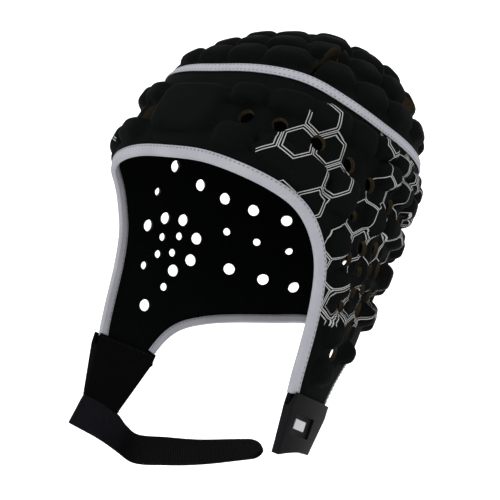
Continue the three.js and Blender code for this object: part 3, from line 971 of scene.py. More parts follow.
@dataclass(frozen=True)
class StretchKnit(Finish):
    """Warp-knitted nylon bonded to foam: matt, with fine loops that catch a soft light."""

    bump: float = 0.35
    bump_mm: float = 0.25
    loop_mm: float = 1.5
    mottle_mm: float = 22.0
    ink: str = ""
    cell_mm: float = 18.5
    line_mm: float = 0.5
    gap_mm: float = 1.5
    bare_of_outer: float = 0.48
    bare_of_inner: float = 0.62

    def pattern(self, tree: NodeTree) -> Pattern:
        """A faint mottle and the loops.

        Args:
            tree: The material's nodes.

        Returns:
            The mottle as the tone's share, and the loops as height.
        """
        place = add_node(tree, "ShaderNodeTexCoord").outputs["Object"]
        cloudy = {"Vector": place, "Scale": repeats(self.mottle_mm), "Detail": 3.0}
        mottle = add_node(tree, "ShaderNodeTexNoise", cloudy)
        # Real loops are about 0.5 mm, too fine for the picture, so they are drawn three times as coarse
        loops = add_node(tree, "ShaderNodeTexVoronoi", {"Vector": place, "Scale": repeats(self.loop_mm)})
        return Pattern(mottle.outputs["Fac"], loops.outputs["Distance"])

    def overlay(self, tree: NodeTree, tones: NodeSocket) -> NodeSocket:
        """The cloth, printed where there is ink."""
        return self.printed(tree, tones) if self.ink else tones

    def printed(self, tree: NodeTree, cloth: NodeSocket) -> NodeSocket:
        """Draws double outlines of some cells of a honeycomb.

        Args:
            tree: The material's nodes.
            cloth: Colour of the bare cloth.

        Returns:
            The colour with the lines on it.
        """
        vector = "ShaderNodeVectorMath"
        scalar = "ShaderNodeMath"
        half = (0.5, math.sqrt(3) / 2, 0)
        low = tuple(-x for x in half)
        scale = 1 / self.cell_mm
        sheet = add_node(tree, "ShaderNodeAttribute", attribute_name="print").outputs["Vector"]
        zone = add_node(tree, "ShaderNodeSeparateXYZ", {"Vector": sheet}).outputs["Z"]
        place = add_node(tree, vector, {0: sheet, 1: (scale, scale, 0)}, operation="MULTIPLY").outputs[0]
        shift = add_node(tree, vector, {0: place, 1: half}, operation="SUBTRACT").outputs[0]
        # The cells' middles are two oblong grids, and each place belongs to the nearer middle
        even = add_node(tree, vector, {0: place, 1: half, 2: low}, operation="WRAP").outputs[0]
        odd = add_node(tree, vector, {0: shift, 1: half, 2: low}, operation="WRAP").outputs[0]
        even_far = add_node(tree, vector, {0: even}, operation="LENGTH").outputs["Value"]
        odd_far = add_node(tree, vector, {0: odd}, operation="LENGTH").outputs["Value"]
        nearer = add_node(tree, scalar, {0: even_far, 1: odd_far}, operation="LESS_THAN").outputs[0]
        choice = {"Factor": nearer, 4: odd, 5: even}
        inside = add_node(tree, "ShaderNodeMix", choice, data_type="VECTOR").outputs[1]
        middle = add_node(tree, vector, {0: place, 1: inside}, operation="SUBTRACT").outputs[0]
        steps = add_node(tree, vector, {0: middle, 1: half}, operation="DIVIDE").outputs[0]
        index = add_node(tree, vector, {0: steps, 1: (1, 1, 1)}, operation="SNAP").outputs[0]
        noise = add_node(tree, "ShaderNodeTexWhiteNoise", {"Vector": index}, noise_dimensions="2D")
        folded = add_node(tree, vector, {0: inside}, operation="ABSOLUTE").outputs[0]
        slant = add_node(tree, vector, {0: folded, 1: half}, operation="DOT_PRODUCT").outputs["Value"]
        flat = add_node(tree, "ShaderNodeSeparateXYZ", {"Vector": folded}).outputs["X"]
        out = add_node(tree, scalar, {0: slant, 1: flat}, operation="MAXIMUM").outputs[0]
        lines = []
        outlines = ((self.line_mm, self.bare_of_outer), (self.line_mm + self.gap_mm, self.bare_of_inner))
        for inset, bare in outlines:
            outline = {0: out, 1: 0.5 - inset * scale, 2: self.line_mm * scale / 2}
            line = add_node(tree, scalar, outline, operation="COMPARE").outputs[0]
            chosen = {0: noise.outputs["Value"], 1: bare}
            kept = add_node(tree, scalar, chosen, operation="GREATER_THAN").outputs[0]
            lines.append(add_node(tree, scalar, {0: line, 1: kept}, operation="MULTIPLY").outputs[0])
        both = add_node(tree, scalar, {0: lines[0], 1: lines[1]}, operation="MAXIMUM").outputs[0]
        here = add_node(tree, scalar, {0: zone, 1: 0.5}, operation="GREATER_THAN").outputs[0]
        drawn = add_node(tree, scalar, {0: both, 1: here}, operation="MULTIPLY").outputs[0]
        colours = {"Factor": drawn, "A": cloth, "B": linear(self.ink)}
        return add_node(tree, "ShaderNodeMix", colours, data_type="RGBA").outputs["Result"]


@dataclass(frozen=True)
class RawFoam(Finish):
    """Cut edge of closed-cell foam: dull olive brown with tiny open cells."""

    bump: float = 0.6
    bump_mm: float = 0.3
    cell_mm: float = 0.9

    def pattern(self, tree: NodeTree) -> Pattern:
        """Cells, in tone and bump alike.

        Args:
            tree: The material's nodes.

        Returns:
            The cells, twice.
        """
        place = add_node(tree, "ShaderNodeTexCoord").outputs["Object"]
        cells = add_node(tree, "ShaderNodeTexVoronoi", {"Vector": place, "Scale": repeats(self.cell_mm)})
        return Pattern(cells.outputs["Distance"], cells.outputs["Distance"])


@dataclass(frozen=True)
class ElasticTape(Finish):
    """Woven elastic edging: matt, with fine ribs across its length and noise patches of a painted shade tone.
    """

    bump: float = 0.4
    bump_mm: float = 0.15
    rib_mm: float = 1.1
    shade_patch_scale: float = 60.0

    def pattern(self, tree: NodeTree) -> Pattern:
        """Patches of painted shade, and ribs along the tape's own length, which its print attribute keeps in
        millimetres.

        Args:
            tree: The material's nodes.

        Returns:
            The painted shade patches as the tone's share, and the ribs as height.
        """
        along = add_node(tree, "ShaderNodeAttribute", attribute_name="print").outputs["Vector"]
        # The wave node multiplies its scale by this
        wave_factor = 20
        scale = 2 * math.pi / self.rib_mm / wave_factor
        bands = {"Vector": along, "Scale": scale, "Distortion": 0.6, "Detail": 1.0}
        ribs = add_node(tree, "ShaderNodeTexWave", bands, wave_type="BANDS", bands_direction="X")
        place = add_node(tree, "ShaderNodeTexCoord").outputs["Object"]
        # Noise patches where the tape's painted shade tone shows
        shade_patching = {"Vector": place, "Scale": self.shade_patch_scale, "Detail": 4.0}
        painted_shade = add_node(tree, "ShaderNodeTexNoise", shade_patching)
        return Pattern(painted_shade.outputs["Fac"], ribs.outputs["Fac"])


@dataclass(frozen=True)
class LoopPile(Finish):
    """Loop-faced webbing: a fuzzy pile near its root, lighter in tone, that gives way to darker ribs towards
    its end.
    """

    bump: float = 0.8
    bump_mm: float = 0.4
    fuzz_mm: float = 0.8
    pile_end: float = 0.2
    darkening_before: float = 0.06
    darkening_after: float = 0.1
    fleck_from: tuple[float, float] = (0.35, 0.75)
    fleck_to: tuple[float, float] = (0.55, 1.6)

    def pattern(self, tree: NodeTree) -> Pattern:
        """Fuzz, and the darkening along the strap, whose print attribute runs from 0 to 1.

        Args:
            tree: The material's nodes.

        Returns:
            The darkening towards the end as the tone's share, and the fuzz as height.
        """
        sheet = add_node(tree, "ShaderNodeAttribute", attribute_name="print").outputs["Vector"]
        along = add_node(tree, "ShaderNodeSeparateXYZ", {"Vector": sheet}).outputs["Z"]
        place = add_node(tree, "ShaderNodeTexCoord").outputs["Object"]
        rough = {"Vector": place, "Scale": repeats(self.fuzz_mm), "Detail": 5.0, "Roughness": 0.7}
        fuzz = add_node(tree, "ShaderNodeTexNoise", rough, name="fuzz")
        first = self.pile_end - self.darkening_before
        last = self.pile_end + self.darkening_after
        change = {"Value": along, "From Min": first, "From Max": last}
        # The tone turns darker from just before the end of the pile
        darkening = add_node(tree, "ShaderNodeMapRange", change, interpolation_type="SMOOTHSTEP")
        return Pattern(darkening.outputs["Result"], fuzz.outputs["Fac"])

    def overlay(self, tree: NodeTree, tones: NodeSocket) -> NodeSocket:
        """The tones with lighter and darker flecks of fuzz.

        Args:
            tree: The material's nodes.
            tones: The mixed tones.

        Returns:
            The flecked colour.
        """
        fuzz = tree.nodes["fuzz"].outputs["Fac"]
        low, high = self.fleck_from
        dark, light = self.fleck_to
        spread = {"Value": fuzz, "From Min": low, "From Max": high, "To Min": dark, "To Max": light}
        fleck = add_node(tree, "ShaderNodeMapRange", spread).outputs["Result"]
        flecked = add_node(tree, "ShaderNodeVectorMath", {0: tones, "Scale": fleck}, operation="SCALE")
        return flecked.outputs[0]


@dataclass(frozen=True)
class MouldedRubber(Finish):
    """Moulded soft plastic: an even satin skin with a fine spark-eroded grain and a painted highlight on its
    sharp edges.
    """

    grain_mm: float = 0.7
    highlight_from: float = 0.505
    highlight_full: float = 0.56
    highlight_share: float = 0.7

    def pattern(self, tree: NodeTree) -> Pattern:
        """Painted highlight on sharp edges, and grain.

        Args:
            tree: The material's nodes.

        Returns:
            The painted edge highlight as the tone's share, and the grain as height.
        """
        place = add_node(tree, "ShaderNodeTexCoord").outputs["Object"]
        fine = {"Vector": place, "Scale": repeats(self.grain_mm), "Detail": 3.0}
        grain = add_node(tree, "ShaderNodeTexNoise", fine)
        edge = add_node(tree, "ShaderNodeNewGeometry").outputs["Pointiness"]
        # Sharp convex edges get the paler second tone, a painted highlight
        sharp = {"Value": edge, "From Min": self.highlight_from, "From Max": self.highlight_full}
        edge_highlight = add_node(tree, "ShaderNodeMapRange", {**sharp, "To Max": self.highlight_share})
        return Pattern(edge_highlight.outputs["Result"], grain.outputs["Fac"])


@dataclass(frozen=True)
class SewingThread(MouldedRubber):
    """Spun polyester thread: dull, with a fine twist that shows as grain and a painted highlight on its
    crown.
    """


@dataclass(frozen=True)
class Backlit(Finish):
    """Even white sheet that is lit from behind, as a studio backdrop is."""

    glow: float = 0.4

    def dress(self, tree: NodeTree, shader: Node) -> None:
        """Adds the even glow."""
        shader.inputs["Emission Color"].default_value = (1, 1, 1, 1)
        shader.inputs["Emission Strength"].default_value = self.glow


PRINTED_KNIT = StretchKnit("printed_stretch_knit", "#050606", 0.85, 0.02, second="#080909", ink="#929392")
PLAIN_KNIT = StretchKnit("plain_stretch_knit", "#050606", 0.85, 0.02, second="#080909")
LINER = StretchKnit("brushed_nylon_liner", "#030404", 1.0, 0.02, second="#060707")
CUFF_KNIT = StretchKnit("cuff_neoprene", "#040405", 0.9, 0.02, second="#070708")
FOAM = RawFoam("raw_foam_edge", "#1a150e", 0.95, 0.05, second="#2f271b")
# The tape's second tone is painted shade, laid in noise patches
EDGING = ElasticTape("woven_elastic_tape", "#959599", 0.9, 0.1, second="#7f7f88")
# The second tones of the threads are painted highlights on their sharp parts
THREAD = SewingThread("polyester_thread", "#5f5e66", 0.7, 0.1, second="#727179")
DARK_THREAD = SewingThread("dark_polyester_thread", "#0b0b0d", 0.7, 0.05, second="#121214")
PILE = LoopPile("loop_pile_webbing", "#121216", 0.95, 0.02, 0.02, second="#040405")
# The second tones of the moulded plastics are painted highlights on their sharp edges
RUBBER = MouldedRubber("moulded_soft_plastic", "#050507", 0.6, 0.05, second="#0e0e10")
BADGE_PLASTIC = MouldedRubber("pale_moulded_plastic", "#8f9092", 0.5, 0.3, second="#a2a2a4")
PAPER = Backlit("backlit_studio_sheet", "#f4f4f4", 0.95, 0.1)


# Sub-assemblies


def settle(piece: Object, slot: str, *nodes: str) -> Object:
    """Puts a piece on the guard's body.

    Args:
        piece: The piece.
        slot: Not used.
        *nodes: The record's nodes that it stands for, if any.

    Returns:
        The same piece.
    """
    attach(piece, BODY)
    if nodes:
        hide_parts(*nodes)
    LOG.info("%s: %d faces", piece.name, len(piece.data.polygons))
    return piece


@dataclass(frozen=True)
class VentDrill:
    """Tapered drill for a vent, which leaves a wider mouth outside."""

    below: float = 2.0
    above: float = 14.0
    flare: float = 0.2
    sides: int = 22

    def radius(self, bore: float, out: np.ndarray | float) -> np.ndarray | float:
        """Radius of a vent at a distance out of the inner face."""
        return bore / 2 + self.flare * out

    def cutters(self, vents: Sequence[Vent]) -> bmesh.types.BMesh:
        """Drills for all vents.

        Args:
            vents: The vents.

        Returns:
            The drills, as one shape.
        """
        shape = bmesh.new()
        for vent in vents:
            origin = FORM.point(vent.azimuth, vent.height)
            east, north, out = FORM.axes(origin)
            matrix = frame_matrix(origin + out * (self.above - self.below) / 2, (east, north, out))
            bmesh.ops.create_cone(
                shape,
                cap_ends=True,
                segments=self.sides,
                radius1=self.radius(vent.bore, -self.below),
                radius2=self.radius(vent.bore, self.above),
                depth=self.above + self.below,
                matrix=matrix,
            )
        return shape


DRILL = VentDrill()


def dart_cutters(darts: Sequence[Dart], depth: float = 40.0, sides: int = 32) -> bmesh.types.BMesh:
    """Lens-shaped cutters for all darts.

    Args:
        darts: The darts.
        depth: Length of a cutter through the wall.
        sides: Sides of a cutter.

    Returns:
        The cutters, as one shape.
    """
    shape = bmesh.new()
    for dart in darts:
        origin = FORM.point(dart.azimuth, dart.height)
        matrix = frame_matrix(origin, FORM.axes(origin), dart.lean)
        made = bmesh.ops.create_cone(shape, cap_ends=True, segments=sides, radius1=1, radius2=1, depth=depth)
        for vert in made["verts"]:
            sine = vert.co.y
            vert.co.x = vert.co.x * dart.length / 2
            vert.co.y = math.copysign(sine * sine, sine) * dart.width / 2
        bmesh.ops.transform(shape, matrix=matrix, verts=made["verts"])
    return shape


@dataclass
class FoamPanel:
    """What the crown and the wrap share: a padded wall, cut through and dressed in three finishes."""

    name: str
    relief: PadRelief
    wrinkle: float = 0.22
    wrinkle_length: float = 26.0
    band_cover: float = 3.8
    pad_fade: float = 3.0
    turned_in: float = -0.5
    upright: float = 0.6
    crease_angle: float = 50.0

    def outer(self, inner: Points, keep: np.ndarray, wall: np.ndarray | float = WALL) -> Points:
        """Outer face over points of the inner one.

        Args:
            inner: Points of the inner face.
            keep: Share of the pads' height that is kept at each.
            wall: Thickness of the foam under the pads.

        Returns:
            Points of the outer face.
        """
        rise = self.relief.height(inner) * keep
        uneven_by = self.wrinkle * ripple(inner, self.wrinkle_length) * keep
        return inner + FORM.normal(inner) * (wall + rise + uneven_by)[:, None]

    def dress(self, piece: Object, outside: Finish, holes: Callable[[Points], np.ndarray]) -> None:
        """Gives outer cloth, liner and cut foam their own materials.

        Args:
            piece: The cut panel.
            outside: Finish of its outer cloth.
            holes: Tells which face middles are on the wall of a hole.
        """
        mesh = piece.data
        mesh.materials.clear()
        for finish in (outside, LINER, FOAM):
            mesh.materials.append(finish.make())
        middle, normal = face_facts(mesh)
        outward = np.sum(normal * FORM.normal(middle), axis=1)
        slots = np.where(outward < self.turned_in, 1, 0)
        slots = np.where((np.abs(outward) < self.upright) & holes(middle), 2, slots)
        mesh.polygons.foreach_set("material_index", slots.astype(np.int32))
        mesh.set_sharp_from_angle(angle=math.radians(self.crease_angle))


@dataclass
class Wrap(FoamPanel):
    """Forehead, temples, ear zones, back and cheek flaps: one padded panel with vents."""

    face_columns: int = 216
    nape_columns: int = 120
    tip_columns: int = 12
    outer_rows: int = 118
    inner_rows: int = 34
    ease: float = 4.0
    tape_cover: float = 5.0
    vent_wall: float = 2.6
    vent_land: float = 1.2
    vent_fade: float = 2.5
    thin_fade: float = 3.0
    hole_depth: float = 16.0
    hole_share: float = 0.12
    hole_slack: float = 0.15
    print_radius: float = 88.0

    def edge_places(self) -> Points:
        """Azimuth, height and band azimuth of the lower edge, once round and back to its start.

        Returns:
            One row for each column of the panel, and the first again.
        """
        face = curve_spaced(mirrored(FACE_EDGE, 0), self.face_columns)
        nape = curve_spaced(mirrored(NAPE_EDGE, 180), self.nape_columns)
        share = np.linspace(0, 1, self.tip_columns + 1)[1:-1, None]
        left = face[-1] + (nape[0] - face[-1]) * share
        start = face[0] + np.array([360, 0, 360])
        right = nape[-1] + (start - nape[-1]) * share
        return np.vstack([face, left, nape, right, start[None]])

    def build(self) -> Object:
        """Builds the panel and drills its vents.

        Returns:
            The panel.
        """
        places = self.edge_places()
        edge = FORM.point(places[:, 0], places[:, 1])
        columns = len(places) - 1
        share = np.concatenate(
            [np.linspace(0, 1, self.outer_rows + 1), [1.0], np.linspace(1, 0, self.inner_rows + 1), [0.0]]
        )
        # Rows go down the outer face, half way through the edge, up the inner face and back to the start
        inside = np.zeros(len(share))
        inside[self.outer_rows + 1] = 0.5
        inside[self.outer_rows + 2 : -1] = 1.0

        def place(u: np.ndarray, v: np.ndarray) -> Points:
            """Points of the panel, by column and row.

            Args:
                u: From 0 to 1 round the head.
                v: From 0 to 1 down the outer face and up the inner.

            Returns:
                Points in millimetres.
            """
            column = places[np.rint(u * columns).astype(int)]
            row = np.rint(v * (len(share) - 1)).astype(int)
            t = share[row]
            top = FORM.band(column[:, 2])[:, 2] - CLEARANCE / 2
            azimuth = column[:, 2] + (column[:, 0] - column[:, 2]) * t**self.ease
            inner = FORM.point(azimuth, top + (column[:, 1] - top) * t)
            inward = gap_to(inner, edge)
            away = self.vent_gap(inner)
            by_band = smooth_step((t * (top - column[:, 1]) - self.band_cover) / self.pad_fade)
            by_tape = smooth_step((inward - self.tape_cover) / self.pad_fade)
            by_vent = smooth_step((away - self.vent_land) / self.vent_fade)
            keep = by_band * (by_tape * by_vent)
            thinned = (WALL - self.vent_wall) * (1 - smooth_step((away - self.vent_land) / self.thin_fade))
            outer = self.outer(inner, keep, np.minimum(wall_at(inward), WALL - thinned))
            return outer + (inner - outer) * inside[row][:, None]

        piece = mapped_grid(self.name, columns, len(share) - 1, place)
        cut(piece, DRILL.cutters(all_vents()))
        self.finish(piece)
        return piece

    @staticmethod
    def vent_gap(points: Points) -> np.ndarray:
        """Distance of each point from the rim of the nearest vent.

        Args:
            points: Points of the inner face.

        Returns:
            One distance for each, less than 0 inside a vent.
        """
        gap = np.full(len(points), np.inf)
        for vent in all_vents():
            origin = FORM.point(vent.azimuth, vent.height)
            gap = np.minimum(gap, np.linalg.norm(points - origin, axis=1) - DRILL.radius(vent.bore, 0))
        return gap

    def finish(self, piece: Object) -> None:
        """Dresses the panel and lays out its print.

        Args:
            piece: The drilled panel.
        """

        def on_wall(middle: Points) -> np.ndarray:
            """Tells which face middles are on the wall of a vent.

            Args:
                middle: The middles.

            Returns:
                True for those that are.
            """
            found = np.zeros(len(middle), bool)
            for vent in all_vents():
                origin = FORM.point(vent.azimuth, vent.height)
                way = FORM.axes(origin)[2]
                away = middle - origin
                along = away @ way
                off = np.linalg.norm(away - along[:, None] * way, axis=1)
                radius = DRILL.radius(vent.bore, along)
                beside = np.abs(off - radius) < self.hole_share * radius + self.hole_slack
                found |= (np.abs(along) < self.hole_depth) & beside
            return found

        self.dress(piece, PRINTED_KNIT, on_wall)
        points = mesh_points(piece.data)
        azimuth = np.abs(FORM.azimuth(points))
        height = points[:, 2]
        lower = np.interp(azimuth, *zip(*PRINT_LOWER))
        upper = np.interp(azimuth, *zip(*PRINT_UPPER))
        first, last = PRINT_SPAN
        zone = (azimuth > first) & (azimuth < last) & (height > lower) & (height < upper)
        sheet = np.stack([np.radians(azimuth) * self.print_radius, height, zone.astype(float)], axis=1)
        add_attribute(piece.data, "print", sheet)


@dataclass
class Crown(FoamPanel):
    """Domed top of padded foam with open darts."""

    steps: int = 150
    rim_to_top: float = 90.0
    wall_slack: float = 0.25

    def build(self) -> Object:
        """Builds the dome and cuts its darts.

        Returns:
            The dome.
        """
        shape = bmesh.new()
        shape.loops.layers.uv.new("UVMap")
        for inner_face in (False, True):
            made = bmesh.ops.create_grid(
                shape, x_segments=self.steps, y_segments=self.steps, size=1.0, calc_uvs=True
            )
            flat = np.array([vert.co[:2] for vert in made["verts"]])
            move_verts(made["verts"], self.place(flat[:, 0], flat[:, 1], inner_face))
        bmesh.ops.bridge_loops(shape, edges=open_edges(shape))
        bmesh.ops.recalc_face_normals(shape, faces=shape.faces)
        piece = to_object(self.name, shape)
        darts = [*DARTS, *(Dart(-d.azimuth, d.height, -d.lean, d.length, d.width) for d in DARTS)]
        cut(piece, dart_cutters(darts))
        self.finish(piece, darts)
        return piece

    def place(self, x: np.ndarray, y: np.ndarray, inner_face: bool) -> Points:
        """Maps a square onto the dome, with its rim on the crown seam.

        Args:
            x: From -1 to 1.
            y: From -1 to 1.
            inner_face: Whether the inner face is wanted.

        Returns:
            Points in millimetres.
        """
        reach = np.maximum(np.abs(x), np.abs(y))
        safe_x = np.where(x == 0, 1, x)
        safe_y = np.where(y == 0, 1, y)
        beside = 45 * y / safe_x + np.where(x < 0, 180, 0)
        ahead = 90 - 45 * x / safe_y + np.where(y < 0, 180, 0)
        angle = np.where(np.abs(x) >= np.abs(y), beside, ahead)
        inner = FORM.crown(angle, 1 - reach)
        if inner_face:
            return inner
        inward = (reach.max() - reach) * self.rim_to_top
        return self.outer(inner, smooth_step(inward / self.pad_fade - self.band_cover / self.pad_fade))

    def finish(self, piece: Object, darts: Sequence[Dart]) -> None:
        """Dresses the dome.

        Args:
            piece: The cut dome.
            darts: Its darts, on both sides.
        """

        def on_wall(middle: Points) -> np.ndarray:
            """Tells which face middles are on the wall of a dart.

            Args:
                middle: The middles.

            Returns:
                True for those that are.
            """
            found = np.zeros(len(middle), bool)
            for dart in darts:
                origin = FORM.point(dart.azimuth, dart.height)
                along, across = FORM.leaned(middle, origin, dart.lean)
                edge = dart.width / 2 * np.clip(1 - (2 * along / dart.length) ** 2, 0, 1)
                beside = np.abs(np.abs(across) - edge) < self.wall_slack
                found |= (np.abs(along) < dart.length / 2) & beside
            return found

        self.dress(piece, PLAIN_KNIT, on_wall)


def mirrored(rows: Sequence[Sequence[float]], middle: float) -> Points:
    """Rows of an edge on one side, with the other side's joined on.

    Args:
        rows: Azimuth, height and band azimuth of the one side.
        middle: Azimuth that the sides mirror about.

    Returns:
        The rows of both sides, in order.
    """
    points = np.array(rows, float)
    flip = points.copy()
    flip[:, [0, 2]] = 2 * middle - flip[:, [0, 2]]
    flip = flip[points[:, 0] != middle][::-1]
    return np.vstack([flip, points]) if middle == 0 else np.vstack([points, flip])


# Half width and half height of a stitch, and how far to each side of it the way of its row is read
STITCH_HALF_WIDTH = 0.34
STITCH_HALF_HEIGHT = 0.3
STITCH_PROBE = 0.5


def stitch_row(
    name: str, path: Points, out: Points, finish: Finish, pitch: float = 2.8, length: float = 1.6
) -> Object:
    """A row of sewn stitches along a path.

    Args:
        name: Name of the new object.
        path: Points of the row.
        out: Way out of the cloth at each point.
        finish: Finish of the thread.
        pitch: Spacing in millimetres.
        length: Length of a stitch in millimetres.

    Returns:
        The stitches, as one piece.
    """
    run = run_along(path)
    size = Matrix.Diagonal((length / 2, STITCH_HALF_WIDTH, STITCH_HALF_HEIGHT, 1))
    shape = bmesh.new()
    for middle in np.arange(pitch / 2, run[-1], pitch):
        start = read_along(path, run, middle - STITCH_PROBE)
        end = read_along(path, run, middle + STITCH_PROBE)
        way = unit(end - start)
        across = unit(np.cross(read_along(out, run, middle), way))
        matrix = frame_matrix((start + end) / 2, (way, across, np.cross(way, across)))
        bmesh.ops.create_icosphere(shape, subdivisions=1, radius=1.0, matrix=matrix @ size)
    piece = to_object(name, shape)
    piece.data.materials.append(finish.make())
    return piece


@dataclass
class CrownTape:
    """Tape over the seam between crown and wrap."""

    half_width: float = 3.2
    columns: int = 400
    around: int = 20
    squareness: float = 5.0
    sewn: float = 2.0

    def seam(self, count: int) -> tuple[Points, Points]:
        """Points of the seam, once round, and the way down from each.

        Args:
            count: Number of spaces.

        Returns:
            The points and the ways.
        """
        azimuth = np.linspace(0, 360, count + 1)
        seam = FORM.band(azimuth)
        along = FORM.band(azimuth + 1) - FORM.band(azimuth - 1)
        return seam, unit(np.cross(along, FORM.normal(seam)))

    def line(self, count: int, reach: float, lift: float) -> tuple[Points, Points]:
        """Points beside the seam.

        Args:
            count: Number of points, once round.
            reach: Distance below the seam.
            lift: Distance out of the wall.

        Returns:
            The points, and the way out at each.
        """
        seam, down = self.seam(count)
        draped = FORM.drape(seam + down * reach)
        out = FORM.normal(draped)
        return draped + out * lift, out

    def build(self) -> list[Object]:
        """Builds the tape and its two rows of stitches.

        Returns:
            The tape, then its stitches.
        """
        seam, down = self.seam(self.columns)
        run = run_along(seam)

        def place(u: np.ndarray, v: np.ndarray) -> Points:
            """Points of the tape, along the seam and round its section.

            Args:
                u: From 0 to 1 along the seam.
                v: From 0 to 1 round the section.

            Returns:
                Points in millimetres.
            """
            column = np.rint(u * self.columns).astype(int)
            across, up = squared_circle(v * 2 * math.pi, self.squareness)
            flat = seam[column] + down[column] * (self.half_width * across)[:, None]
            return FORM.drape(flat, WALL + CLEARANCE + TAPE / 2 + TAPE / 2 * up)

        tape = mapped_grid("crown_tape", self.columns, self.around, place)
        points = mesh_points(tape.data)
        turn = np.mod(np.degrees(np.arctan2(points[:, 0], -points[:, 1])), 360)
        plain = np.mod(np.degrees(np.arctan2(seam[:-1, 0], -seam[:-1, 1])), 360)
        order = np.argsort(plain)
        along = np.interp(turn, plain[order], run[:-1][order])
        add_attribute(tape.data, "print", np.stack([along, points[:, 2], np.zeros(len(points))], axis=1))
        tape.data.materials.append(EDGING.make())
        settle(tape, "tape", "crown_band")
        pieces = [tape]
        for label, reach in (("lower", self.sewn), ("upper", -self.sewn)):
            path, out = self.line(self.columns, reach, WALL + CLEARANCE + TAPE)
            pieces.append(settle(stitch_row(f"crown_stitches_{label}", path, out, THREAD), "tape"))
        return pieces


@dataclass
class EdgeTape:
    """Tape folded over a stretch of the lower edge."""

    name: str
    node: str
    places: Points
    reach: float = 4.5
    hem: float = 1.0
    lip: float = 0.2
    fold_points: int = 11

    def section(self) -> Points:
        """Closed outline of the folded tape: reach past the edge and distance out of the inner face.

        Returns:
            The outline's corners, in order.
        """
        far = self.reach
        crest = self.lip / 2
        turn = np.linspace(math.pi / 2, -math.pi / 2, self.fold_points)
        middle = EDGE_WALL / 2
        radius = middle + CLEARANCE + TAPE
        fold = np.stack([CLEARANCE + (TAPE + crest) * np.cos(turn), middle + radius * np.sin(turn)], axis=1)
        out = float(wall_at(far)) + CLEARANCE
        half_out = float(wall_at(far / 2)) + CLEARANCE
        outer = [
            (-far, out),
            (-far - self.lip, out + TAPE / 2),
            (-far + self.lip, out + TAPE - crest),
            (-far / 2, half_out + TAPE + crest),
        ]
        under = -CLEARANCE - TAPE
        inner = [(-far / 2, under), (-far, under), (-far, -CLEARANCE)]
        return np.array([*outer, *fold, *inner, (0, -CLEARANCE), (0, EDGE_WALL + CLEARANCE)], float)

    def build(self) -> list[Object]:
        """Builds the tape and its row of stitches.

        Returns:
            The tape, then its stitches outside and inside.
        """
        edge = FORM.point(self.places[:, 0], self.places[:, 1])
        along = np.gradient(edge, axis=0)
        way = unit(np.cross(along, FORM.normal(edge)))
        section = self.section()
        columns = len(edge) - 1
        rows = len(section)

        def place(u: np.ndarray, v: np.ndarray) -> Points:
            """Points of the tape, along the edge and round its section.

            Args:
                u: From 0 to 1 along the edge.
                v: From 0 to 1 round the section.

            Returns:
                Points in millimetres.
            """
            column = np.rint(u * columns).astype(int)
            corner = section[np.rint(v * rows).astype(int) % rows]
            return FORM.drape(edge[column] + way[column] * corner[:, :1], corner[:, 1])

        tape = mapped_grid(self.name, columns, rows, place, cap=True)
        # Each point's share of the length is its U
        uv = np.empty(len(tape.data.loops) * 2)
        tape.data.uv_layers["UVMap"].uv.foreach_get("vector", uv)
        corner = np.empty(len(tape.data.loops), np.int32)
        tape.data.loops.foreach_get("vertex_index", corner)
        share = np.zeros(len(tape.data.vertices))
        share[corner] = uv.reshape(-1, 2)[:, 0]
        length = np.interp(share, np.linspace(0, 1, columns + 1), run_along(edge))
        add_attribute(tape.data, "print", np.outer(length, (1, 0, 0)))
        tape.data.materials.append(EDGING.make())
        settle(tape, "tape", self.node)
        pieces = [tape]
        sewn = self.reach - self.hem
        path = FORM.drape(edge - way * sewn)
        out = FORM.normal(path)
        above = float(wall_at(sewn)) + CLEARANCE + TAPE + self.lip / 2
        for label, lift in (("outer", above), ("inner", -CLEARANCE - TAPE)):
            row = stitch_row(f"{self.name}_stitches_{label}", path + out * lift, out, THREAD)
            pieces.append(settle(row, "tape"))
        return pieces


@dataclass
class FlapEnd:
    """The end of a cheek flap: its corners, and the ways along, out of and down from it."""

    side: Side
    front: Points = field(init=False)
    back: Points = field(init=False)
    along: Points = field(init=False)
    out: Points = field(init=False)
    down: Points = field(init=False)
    width: float = field(init=False)

    def __post_init__(self) -> None:
        """Works out the frame."""
        sign = self.side.value
        self.front = FORM.point(sign * FACE_EDGE[-1][0], FACE_EDGE[-1][1])
        self.back = FORM.point(sign * NAPE_EDGE[0][0], NAPE_EDGE[0][1])
        self.width = float(np.linalg.norm(self.back - self.front))
        self.along = unit(self.back - self.front)
        self.out = FORM.normal(FORM.drape(self.middle))
        self.down = unit(np.cross(self.along, self.out) * sign)

    @property
    def middle(self) -> Points:
        """Middle of the end."""
        return (self.front + self.back) / 2


